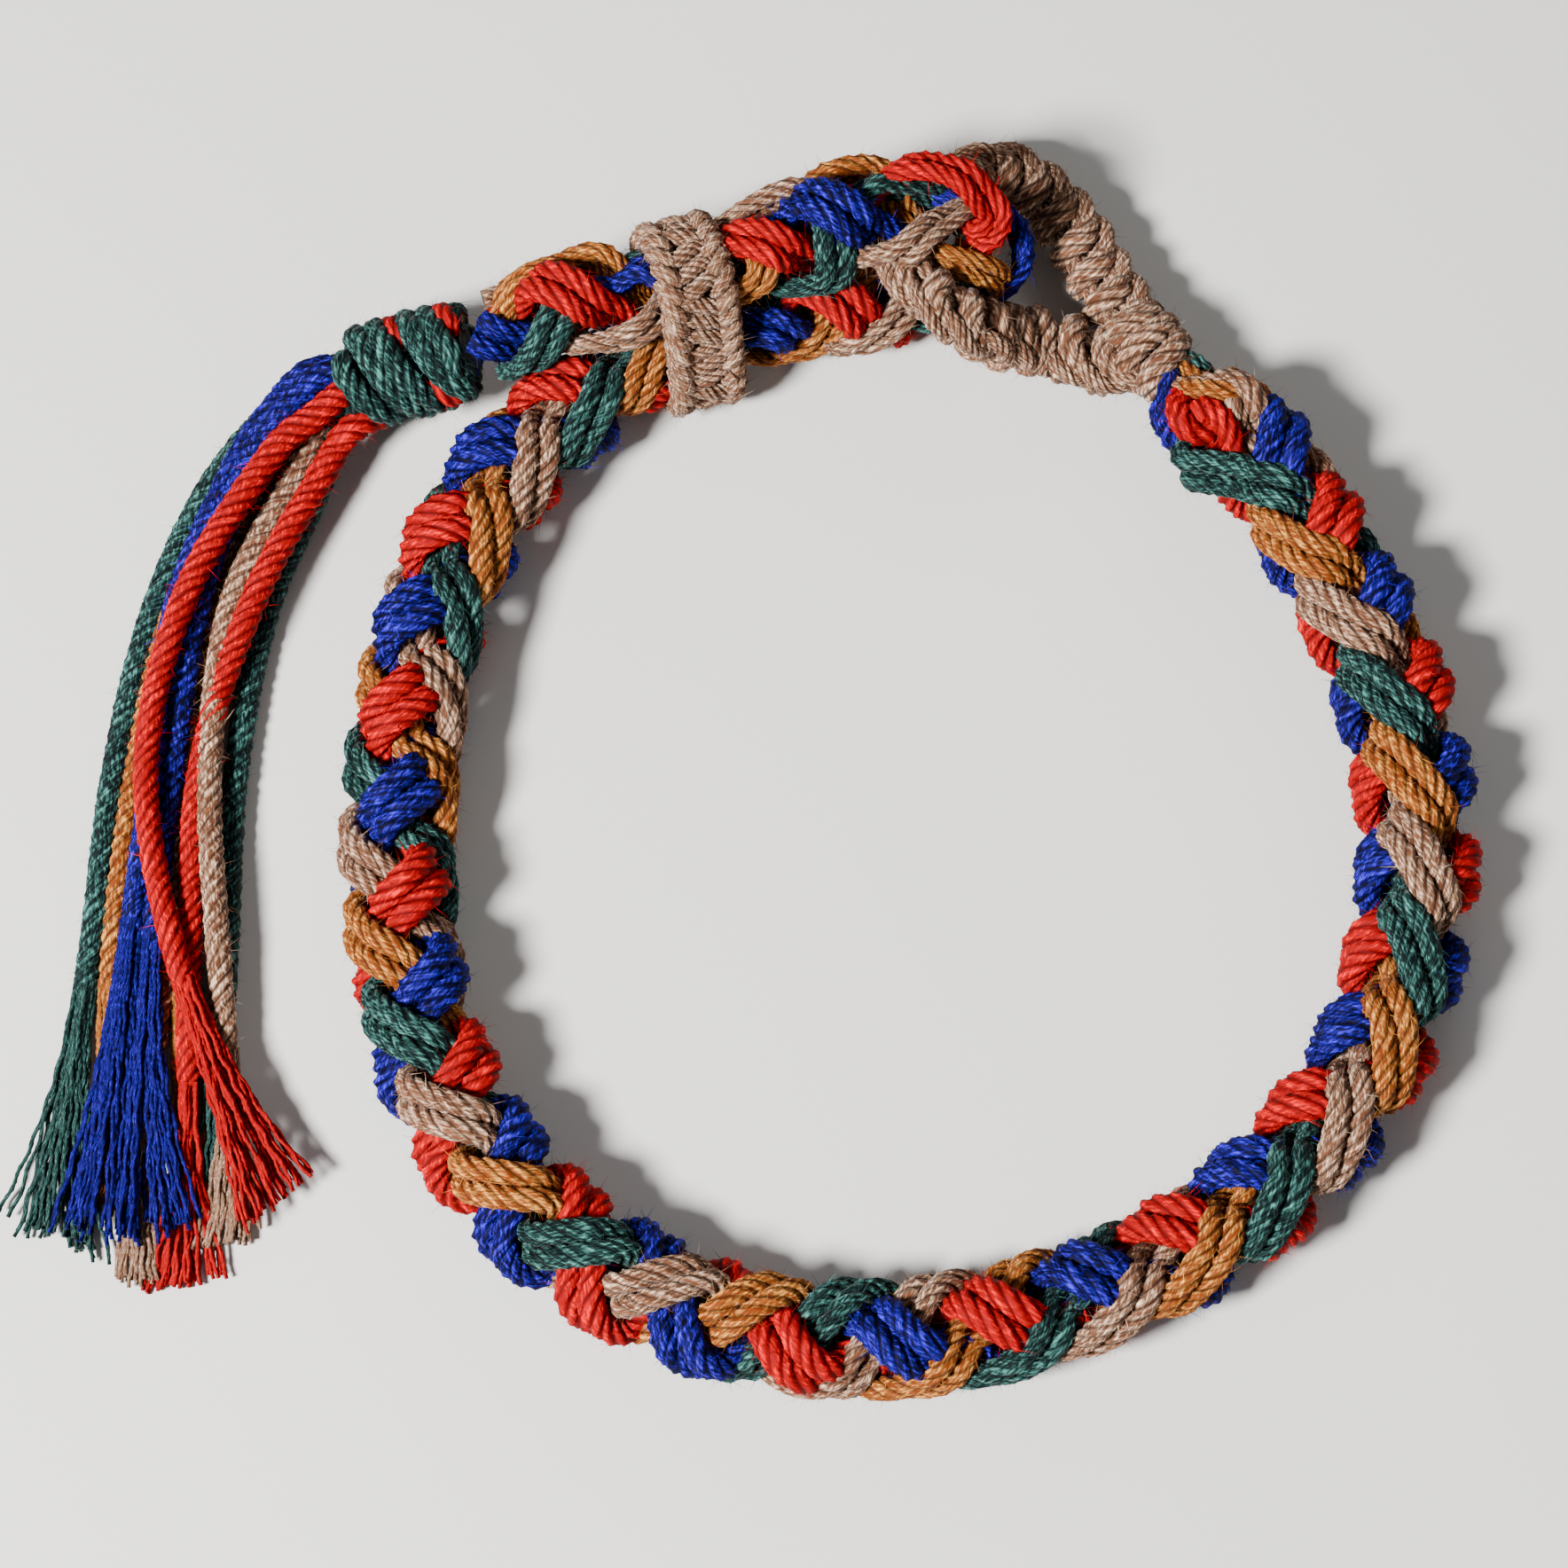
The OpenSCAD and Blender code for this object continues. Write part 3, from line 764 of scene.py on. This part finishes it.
def wool_group():
    """Shader group: colour, roughness and height of twisted wool, with painted shade in the grooves
    between plies and partly painted highlights.
    """
    group = bpy.data.node_groups.new("twisted_wool", "ShaderNodeTree")
    group_socket(group, "Light fibre and highlight", "NodeSocketColor")
    group_socket(group, "Body", "NodeSocketColor")
    group_socket(group, "Shade and dark fleck", "NodeSocketColor")
    group_socket(group, "Round", "NodeSocketVector")
    group_socket(group, "Along", "NodeSocketFloat", 0.0)
    group_socket(group, "Turn", "NodeSocketFloat", 0.0)
    group_socket(group, "Groove", "NodeSocketFloat", 0.0)
    group_socket(group, "Mottle", "NodeSocketFloat", 0.3)
    group_socket(group, "Colour", "NodeSocketColor", output=True)
    group_socket(group, "Roughness", "NodeSocketFloat", output=True)
    group_socket(group, "Height", "NodeSocketFloat", output=True)
    nodes = group.nodes
    links = group.links
    given = nodes.new("NodeGroupInput").outputs
    out = nodes.new("NodeGroupOutput").inputs

    def streaks(around, name):
        across, length, detail, low, high = STREAKS[name]
        parts = nodes.new("ShaderNodeSeparateXYZ")
        links.new(around, parts.inputs[0])
        place = nodes.new("ShaderNodeCombineXYZ")
        links.new(math_node(nodes, links, "MULTIPLY", parts.outputs[0], across), place.inputs[0])
        links.new(math_node(nodes, links, "MULTIPLY", parts.outputs[1], across), place.inputs[1])
        links.new(math_node(nodes, links, "DIVIDE", given["Along"], length * MM), place.inputs[2])
        noise = nodes.new("ShaderNodeTexNoise")
        noise.inputs["Scale"].default_value = 1.0
        noise.inputs["Detail"].default_value = detail
        links.new(place.outputs[0], noise.inputs["Vector"])
        span = nodes.new("ShaderNodeMapRange")
        span.inputs["From Min"].default_value = low
        span.inputs["From Max"].default_value = high
        links.new(noise.outputs[0], span.inputs["Value"])
        return span.outputs[0]

    plies = streaks(given["Round"], "plies")
    back = nodes.new("ShaderNodeVectorRotate")
    back.rotation_type = "Z_AXIS"
    links.new(given["Round"], back.inputs["Vector"])
    links.new(math_node(nodes, links, "MULTIPLY", given["Turn"], FIBRE_TURN), back.inputs["Angle"])
    fibres = streaks(back.outputs[0], "fibres")
    flecks = streaks(given["Round"], "flecks")
    bright = math_node(nodes, links, "MULTIPLY", fibres, FIBRE_PART)
    bright = math_node(nodes, links, "ADD", bright,
                       math_node(nodes, links, "MULTIPLY", plies, PLY_PART))
    bright = math_node(nodes, links, "POWER", bright, RIDGE_POWER)
    # Bright streaks towards the ridge colour: partly lighter fibres of the wool, partly a painted
    # highlight
    lit = nodes.new("ShaderNodeMix")
    lit.data_type = "RGBA"
    links.new(bright, lit.inputs[0])
    links.new(given["Body"], lit.inputs[6])
    links.new(given["Light fibre and highlight"], lit.inputs[7])
    dark = nodes.new("ShaderNodeMix")
    dark.data_type = "RGBA"
    gaps = math_node(nodes, links, "SUBTRACT", 1.0, fibres)
    mottled = math_node(nodes, links, "MULTIPLY", flecks, gaps)
    mottled = math_node(nodes, links, "MULTIPLY", mottled, given["Mottle"])
    # Painted shade: the grooves between plies are darkened towards the valley colour, as are the dark
    # flecks of the mottling
    painted_groove_shade = math_node(nodes, links, "POWER", given["Groove"], GROOVE_SHADE_POWER)
    painted_groove_shade = math_node(nodes, links, "MULTIPLY", painted_groove_shade, GROOVE_SHADE_PART)
    shade = math_node(nodes, links, "MAXIMUM", painted_groove_shade, mottled)
    links.new(shade, dark.inputs[0])
    links.new(lit.outputs[2], dark.inputs[6])
    links.new(given["Shade and dark fleck"], dark.inputs[7])
    links.new(dark.outputs[2], out["Colour"])
    rough = math_node(nodes, links, "MULTIPLY", fibres, FIBRE_ROUGHNESS)
    links.new(math_node(nodes, links, "ADD", rough, LEAST_ROUGHNESS), out["Roughness"])
    links.new(math_node(nodes, links, "SUBTRACT", bright, given["Groove"]), out["Height"])
    return group


WOOL_GROUP = wool_group()


def wool_material(colour, ridge, body, shade_and_dark_fleck, mottle, sheen):
    """Twisted wool of one colour."""
    material = bpy.data.materials.new("wool_" + colour)
    material.use_nodes = True
    nodes = material.node_tree.nodes
    links = material.node_tree.links
    shader = nodes["Principled BSDF"]
    group = nodes.new("ShaderNodeGroup")
    group.node_tree = WOOL_GROUP
    # The valley colour is painted shade in the ply grooves and also the colour of the dark flecks; the
    # ridge colour is partly lighter fibres and partly a painted highlight
    for socket, value in (("Light fibre and highlight", ridge), ("Body", body), ("Shade and dark fleck", shade_and_dark_fleck)):
        group.inputs[socket].default_value = srgb(value)
    group.inputs["Mottle"].default_value = mottle
    reads = (("round", "Round", "Vector"), ("along", "Along", "Fac"), ("turn", "Turn", "Fac"),
             ("groove", "Groove", "Fac"))
    for name, socket, output in reads:
        attribute = nodes.new("ShaderNodeAttribute")
        attribute.attribute_name = name
        links.new(attribute.outputs[output], group.inputs[socket])
    links.new(group.outputs["Colour"], shader.inputs["Base Color"])
    links.new(group.outputs["Roughness"], shader.inputs["Roughness"])
    bump = nodes.new("ShaderNodeBump")
    bump.inputs["Strength"].default_value = 0.6
    bump.inputs["Distance"].default_value = 0.00006
    links.new(group.outputs["Height"], bump.inputs["Height"])
    links.new(bump.outputs["Normal"], shader.inputs["Normal"])
    shader.inputs["Sheen Weight"].default_value = sheen
    shader.inputs["Sheen Roughness"].default_value = 0.4
    shader.inputs["Specular IOR Level"].default_value = 0.08
    return material


WOOLS = {colour: wool_material(colour, *row) for colour, row in WOOL_ROWS.items()}


def braid_strands():
    """The five doubled cords of the braid."""
    for seed, (colour, start, turn) in enumerate(CORD_ROWS):
        paths = BRAID.ropes(colour, start, turn)
        sizes = {"Hairs per area": 1.7e6, "Seed": seed + 1}
        piece = make_ropes("cord_" + colour, paths, WOOLS[colour], **sizes)
        finish_piece(piece, "wool_" + colour, "strand_" + colour)


def wound_path(rows, radius_of, pitch):
    """A rope wound round a path in level turns that step on beside the winding's edge."""
    rows = even_rows(rows, WIND_STEP)
    side, up = path_frame(rows)[1:]
    lengths = running(rows)
    turns = max(1, round(lengths[-1] / pitch))
    mean = float(np.mean([radius_of(r[3]) for r in rows]))
    count = int(turns * 2 * math.pi * mean / TURN_STEP)
    turned = np.linspace(0, turns, count)
    part = np.clip((turned % 1.0 - 0.5) / EDGE_PART + 0.5, 0, 1)
    at = lengths[-1] / turns * (np.floor(turned) + part * part * (3 - 2 * part))

    def pick(values):
        return np.stack([np.interp(at, lengths, values[:, c]) for c in range(values.shape[1])], axis=1)

    middle = pick(rows)
    angle = math.radians(EDGE_ANGLE) + math.pi + 2 * math.pi * turned
    radius = np.array([radius_of(share) for share in middle[:, 3]])
    ring = np.cos(angle)[:, None] * pick(up) + np.sin(angle)[:, None] * pick(side)
    return np.column_stack([middle[:, :3] + radius[:, None] * ring, np.ones(count)])


def wound_edge(rows, radius_of, pitch):
    """Two ropes twisted together along the edge of a winding."""
    rows = even_rows(rows, EDGE_STEP)
    way, side, up = path_frame(rows)
    lengths = running(rows)
    angle = math.radians(EDGE_ANGLE)
    out = math.cos(angle) * up + math.sin(angle) * side
    across = np.cross(out, way)
    radius = np.array([radius_of(share) for share in rows[:, 3]]) + EDGE_OUT
    middle = rows[:, :3] + radius[:, None] * out
    ropes = []
    for start in (0.0, math.pi):
        turn = start - math.pi * lengths / pitch
        ring = np.cos(turn)[:, None] * out + np.sin(turn)[:, None] * across
        ropes.append(np.column_stack([middle + EDGE_TWIST_R * ring, np.ones(len(rows))]))
    return ropes


def side_path(rows, across, above):
    """A rope beside a path, by offsets to its side and upwards."""
    rows = even_rows(rows, CORE_STEP)
    side, up = path_frame(rows)[1:]
    points = rows[:, :3] + across * side + above * up
    return np.column_stack([points, np.ones(len(points))])


def leg_radius(share):
    """The radius on which the winding's rope goes round a leg, from the leg's radius share."""
    outer = FAR_R + (LEG_R - FAR_R) * min(1.0, share + WOUND_MORE)
    return max(WOUND_R, outer) - WIND_R


def foot_radius(outer):
    """The radius on which the winding's rope goes round the foot, from its outer radius."""
    return outer - WIND_R


def eye_loop():
    """The wound eye: its cores, the winding of both legs with a twisted edge, and the foot."""
    path = smooth_rows(EYE_ROWS, 8)
    share = path[:, 3]
    far = int(np.argmin(share))
    lower = path[:far]
    upper = path[far:][share[far:] > WOUND_FROM_SHARE]
    foot = smooth_rows(FOOT_ROWS, 6)
    ropes = [
        wound_path(lower, leg_radius, WIND_PITCH),
        wound_path(upper, leg_radius, WIND_PITCH),
        wound_path(foot, foot_radius, FOOT_PITCH),
    ]
    sizes = {"Hairs per area": 1.5e6, "Seed": 11, "Rope radius": WIND_R * MM}
    piece = make_ropes("eye_winding", ropes, WOOLS["taupe"], **sizes)
    finish_piece(piece, "wool_taupe", "eye_loop")
    edges = wound_edge(lower, leg_radius, WIND_PITCH) + wound_edge(upper, leg_radius, WIND_PITCH)
    sizes = {"Hairs per area": 1.5e6, "Seed": 13, "Rope radius": EDGE_R * MM, "Plies": 6,
             "Twist length": EDGE_TWIST_LENGTH * MM}
    piece = make_ropes("eye_edge", edges, WOOLS["taupe"], **sizes)
    finish_piece(piece, "wool_taupe", "eye_loop")
    cores = [side_path(path, across, above) for across, above in EYE_CORES]
    sizes = {"Hairs per area": 0.0, "Seed": 12, "Rope radius": EYE_CORE_R * MM}
    piece = make_ropes("eye_core", cores, WOOLS["taupe"], **sizes)
    finish_piece(piece, "wool_taupe", "eye_loop")


def band_frame():
    """Middle, up, side and way of the sliding band, and the distance between both runs."""
    main = np.array(LINE_ROWS[MAIN_ROW][:3])
    tail = np.array(LINE_ROWS[TAIL_ROW][:3])
    gap = float(np.linalg.norm(tail - main))
    up = (tail - main) / gap
    way = unit(np.cross(np.cross(up, np.array(BAND_LEVEL_WAY)), up))
    side = np.cross(way, up)
    return (main + tail) / 2, up, side, way, gap


def band_loop(radius, spacing):
    """Points and outward ways round the band, in its own up and side plane."""
    middle, up, side, way, gap = band_frame()
    around = 2 * gap + 2 * math.pi * radius
    count = int(around / spacing)
    at = np.linspace(0, around, count, endpoint=False)
    places = []
    outs = []
    for s in at:
        if s < gap:
            place, out = (s - gap / 2, radius), (0.0, 1.0)
        elif s < gap + math.pi * radius:
            a = (s - gap) / radius
            out = (math.sin(a), math.cos(a))
            place = (gap / 2 + radius * out[0], radius * out[1])
        elif s < 2 * gap + math.pi * radius:
            place, out = (gap / 2 - (s - gap - math.pi * radius), -radius), (0.0, -1.0)
        else:
            a = (s - 2 * gap - math.pi * radius) / radius
            out = (-math.sin(a), -math.cos(a))
            place = (-gap / 2 + radius * out[0], radius * out[1])
        places.append(middle + place[0] * up + place[1] * side)
        outs.append(out[0] * up + out[1] * side)
    return np.array(places), np.array(outs), at, way


def band_columns():
    """Two ropes twisted together along each edge of the band."""
    places, outs, at, way = band_loop(BAND_R + BAND_OUT, BAND_STEP)
    closed = np.arange(len(at) + 1) % len(at)
    turns = round((at[-1] + BAND_STEP) / COLUMN_TURN_LENGTH)
    round_share = turns * np.arange(len(at) + 1) / len(at)
    ropes = []
    for column in COLUMN_PLACES:
        for start in (0, 1):
            angle = 2 * math.pi * (round_share + start / 2) * np.sign(column)
            ring = np.cos(angle)[:, None] * outs[closed] + np.sin(angle)[:, None] * way
            points = places[closed] + column * way + COLUMN_TWIST_R * ring
            ropes.append(np.column_stack([points, np.ones(len(points))]))
    return ropes


def band_ribs():
    """Short arched ropes across the band between its edges."""
    places, outs, at, way = band_loop(BAND_R + BAND_OUT, RIB_SPACING)
    round_way = unit(np.cross(outs, way))
    across = np.linspace(-RIB_HALF, RIB_HALF, RIB_POINTS)
    bow = across / RIB_HALF * math.pi / 2
    ribs = []
    for i in range(len(at)):
        lift = (RIB_LIFT + RIB_LIFT_CHANGE * math.sin(RIB_LIFT_TURN * i)) * np.cos(bow)
        slant = RIB_SLANT * np.sin(bow) * (-1) ** (i // RIBS_PER_SLANT)
        points = places[i] + across[:, None] * way + lift[:, None] * outs[i]
        points = points + slant[:, None] * round_way[i]
        ribs.append(np.column_stack([points, np.ones(len(points))]))
    return ribs


def slider_band():
    """The knotted band: two columns of twisted knots and a ribbed column between them."""
    ropes = band_columns()
    sizes = {"Hairs per area": 1.6e6, "Seed": 21, "Rope radius": COLUMN_ROPE_R * MM, "Plies": 5,
             "Twist length": COLUMN_TWIST_LENGTH * MM, "Corners per ply": 3}
    piece = make_ropes("band_edges", ropes, WOOLS["taupe"], **sizes)
    finish_piece(piece, "wool_taupe", "slider_band")
    ribs = band_ribs()
    sizes = {"Hairs per area": 1.2e6, "Seed": 22, "Rope radius": RIB_ROPE_R * MM, "Plies": 5,
             "Twist length": RIB_TWIST_LENGTH * MM, "Corners per ply": 4}
    piece = make_ropes("band_ribs", ribs, WOOLS["taupe"], **sizes)
    finish_piece(piece, "wool_taupe", "slider_band")


def end_knot():
    """Two doubled green cords wound on the end of the braid, and its red cord under them."""
    start = np.array(KNOT_FROM)
    stop = np.array(KNOT_TO)
    length = float(np.linalg.norm(stop - start))
    way = (stop - start) / length
    side = unit(np.cross(way, np.array([0.0, 0.0, 1.0])))
    up = np.cross(side, way)
    turns = (length - 2 * COIL_EDGE) / COIL_PITCH

    def coil(first, at, radius):
        angle = math.radians(first) + 2 * math.pi * turns * at
        ring = np.cos(angle)[:, None] * up + np.sin(angle)[:, None] * side
        along = COIL_EDGE + (length - 2 * COIL_EDGE) * np.clip(at, 0, 1)
        points = start + along[:, None] * way + radius[:, None] * ring
        return np.column_stack([points, np.ones(len(points))])

    at = np.linspace(-COIL_ENDS, 1 + COIL_ENDS, COIL_POINTS)
    inside = np.clip(np.maximum(-at, at - 1) / COIL_ENDS, 0, 1)
    bulge = KNOT_BULGE * (1 - (2 * np.clip(at, 0, 1) - 1) ** 2)
    radius = KNOT_R - COIL_ROPE_R - KNOT_INSET + bulge - COIL_DIVE * inside ** 2
    ropes = []
    for cord in (0, 180):
        for rope in (-COIL_PAIR_ANGLE, COIL_PAIR_ANGLE):
            ropes.append(coil(COIL_FIRST - 180 + cord + rope, at, radius))
    core = np.linspace(*KNOT_CORE_SHARES, KNOT_CORE_POINTS)
    middle = start + (core * length)[:, None] * way
    ropes.append(np.column_stack([middle, np.full(len(core), KNOT_CORE_R / COIL_ROPE_R)]))
    sizes = {"Hairs per area": 1.4e6, "Seed": 31, "Rope radius": COIL_ROPE_R * MM}
    piece = make_ropes("knot_coils", ropes, WOOLS["green"], **sizes)
    finish_piece(piece, "wool_green", "end_knot")
    gaps = []
    for angle, first, last in KNOT_GAPS:
        at = np.linspace(first, last, GAP_POINTS)
        radius = KNOT_R - GAP_INSET - COIL_DIVE * np.linspace(-1, 1, GAP_POINTS) ** 4
        gaps.append(coil(COIL_FIRST + angle, at, radius))
    sizes = {"Hairs per area": 1.2e6, "Seed": 32, "Rope radius": GAP_ROPE_R * MM}
    piece = make_ropes("knot_under", gaps, WOOLS["red"], **sizes)
    finish_piece(piece, "wool_red", "end_knot")


def lock_path(number):
    """The path of one cord end of the tassel, from inside the end knot to its tip."""
    x = LOCK_ROWS[number][1:6]
    near, half, tip, tip_y = LOCK_ROWS[number][6:10]
    fan = LOCK_MIDDLE - x[0]
    layer = near - LOCK_LAYER
    rows = list(LOCK_STARTS.get(number, []))
    if not rows:
        for shift_x, shift_y, shift_z, fan_x, fan_y, layer_z in LEAVE_ROWS:
            rows.append([
                KNOT_TO[0] + shift_x + fan * fan_x,
                KNOT_TO[1] + shift_y + fan * fan_y,
                KNOT_TO[2] + layer * layer_z + shift_z,
            ])
    for place_x, y, z in zip(x, LOCK_Y, (near, near, half, half, tip)):
        rows.append([place_x, y, z])
    rows.append([x[-1], tip_y, tip])
    return even_rows(smooth_rows(rows, 8), LOCK_STEP)


def fray_paths(path, row, rng):
    """Thin crimped yarns that a cord end opens into."""
    fray_y = row[10]
    corner_a = np.array([row[11], row[12]])
    corner_b = np.array([row[13], row[14]])
    tip_z = row[8]
    begin = int(np.argmax(path[:, 1] < fray_y + FRAY_LEAD))
    root = path[begin]
    way = unit(path[begin + 1] - path[begin - 1])
    side = unit(np.cross(way, [0.0, 0.0, 1.0]))
    up = np.cross(side, way)
    yarns = []
    for i in range(FRAY_YARNS):
        spot = math.sqrt(rng.random()) * FRAY_SPOT
        turn = rng.random() * 2 * math.pi
        offset = np.array([spot * math.cos(turn), spot * math.sin(turn)])
        share = np.clip(0.5 + offset[0] / FRAY_WIDTH + rng.normal(0, FRAY_UNEVEN), 0, 1)
        end_xy = corner_b + (corner_a - corner_b) * share
        rest = FRAY_REACH + rng.normal(0, FRAY_REACH_CHANGE)
        s = np.linspace(0, 1, FRAY_POINTS)
        goal = root[:2] + (end_xy - root[:2]) * rest
        reach = goal - root[:2]
        start = root + offset[0] * side + offset[1] * up
        line = start[:2] + (way[:2] * np.linalg.norm(reach))[None, :] * s[:, None]
        straight = start[:2] + reach[None, :] * s[:, None]
        open_up = (s ** 1.1)[:, None]
        xy = line * (1 - open_up) + straight * open_up
        low = max(FRAY_LOWEST, tip_z - FRAY_DROP) + (offset[1] + 0.8) * 0.5 * tip_z / 1.6
        z = start[2] + (low - start[2]) * s ** 1.3
        wave = FRAY_CRIMP * np.minimum(1, s * 3)
        pitch = rng.uniform(*FRAY_CRIMP_LENGTHS)
        phase = rng.random(2) * 2 * math.pi
        run = s * np.linalg.norm(reach)
        side_wave = wave * np.sin(2 * math.pi * run / pitch + phase[0])
        up_wave = wave * np.sin(2 * math.pi * run / pitch + phase[1])
        across = np.array([-reach[1], reach[0]]) / np.linalg.norm(reach)
        xy = xy + side_wave[:, None] * across
        z = np.maximum(z + up_wave, FRAY_R + FLOOR_GAP)
        yarns.append(np.column_stack([xy, z, np.linspace(1.0, FRAY_TIP_SHARE, len(s))]))
    return yarns


def tassel():
    """Ten twisted cord ends with frayed tips."""
    rng = np.random.default_rng(7)
    cords = {}
    frays = {}
    for number, row in enumerate(LOCK_ROWS):
        path = lock_path(number)
        kept = path[path[:, 1] > row[10]]
        thick = 1 + THICKER_AT_KNOT * np.clip((kept[:, 1] - THIN_FROM_Y) / THICK_LENGTH, 0, 1)
        thick[-TAPER_POINTS:] = np.linspace(1.0, TAPER_SHARE, TAPER_POINTS)
        cords.setdefault(row[0], []).append(np.column_stack([kept, thick]))
        frays.setdefault(row[0], []).extend(fray_paths(path, row, rng))
    for seed, colour in enumerate(sorted(cords)):
        sizes = {"Hairs per area": 1.4e6, "Seed": 41 + seed, "Rope radius": TASSEL_ROPE_R * MM,
                 "Twist length": TASSEL_TWIST_LENGTH * MM}
        piece = make_ropes("tassel_" + colour, cords[colour], WOOLS[colour], **sizes)
        finish_piece(piece, "wool_" + colour, "tassel")
        sizes = {"Plies": 2, "Corners per ply": 3, "Groove depth": 0.22, "Groove shade": 1.0,
                 "Twist length": FRAY_TWIST_LENGTH * MM, "Rope radius": FRAY_R * MM,
                 "Roughened by": 0.0, "Seed": 51 + seed}
        piece = make_ropes("fray_" + colour, frays[colour], WOOLS[colour], **sizes)
        finish_piece(piece, "wool_" + colour, "tassel")


def plain_material(name, colour, rough):
    """A plain matt finish for the floor."""
    material = bpy.data.materials.new(name)
    material.use_nodes = True
    shader = material.node_tree.nodes["Principled BSDF"]
    shader.inputs["Base Color"].default_value = srgb(colour)
    shader.inputs["Roughness"].default_value = rough
    return material


def studio():
    """Pale floor, soft light and the camera."""
    bpy.ops.mesh.primitive_plane_add(size=4.0, location=(0.0, 0.0, 0.0))
    floor = bpy.context.object
    floor.name = "floor"
    floor.data.materials.append(plain_material("pale_floor", PALE_FLOOR, 0.9))
    world = bpy.data.worlds.new("soft_studio")
    world.use_nodes = True
    back = world.node_tree.nodes["Background"]
    back.inputs["Color"].default_value = (0.95, 0.97, 1.0, 1.0)
    back.inputs["Strength"].default_value = 0.15
    bpy.context.scene.world = world
    for name, place, size, power in LAMP_ROWS:
        light = bpy.data.lights.new(name, "AREA")
        light.shape = "DISK"
        light.size = size
        light.energy = power
        lamp = bpy.data.objects.new(name, light)
        lamp.location = place
        aim(lamp, LAMP_TARGET)
        bpy.context.scene.collection.objects.link(lamp)
    sight = bpy.data.cameras.new("photo_view")
    sight.sensor_width = 36.0
    sight.lens = sight.sensor_width / 2 / math.tan(math.radians(VIEW_ANGLE / 2))
    sight.clip_start = 0.01
    camera = bpy.data.objects.new("photo_view", sight)
    target = np.array(VIEW_TARGET) * MM
    high = math.radians(VIEW_HIGH)
    away = np.array([0.0, -math.cos(high), math.sin(high)])
    camera.location = tuple(target + VIEW_DISTANCE * MM * away)
    aim(camera, tuple(target))
    bpy.context.scene.collection.objects.link(camera)
    bpy.context.scene.camera = camera


def aim(thing, target):
    """Turns a lamp or camera towards a point."""
    way = np.array(target) - np.array(thing.location)
    level = math.hypot(way[0], way[1])
    thing.rotation_euler = (math.atan2(level, -way[2]), 0.0, math.atan2(-way[0], way[1]))


braid_strands()
eye_loop()
slider_band()
end_knot()
tassel()
studio()
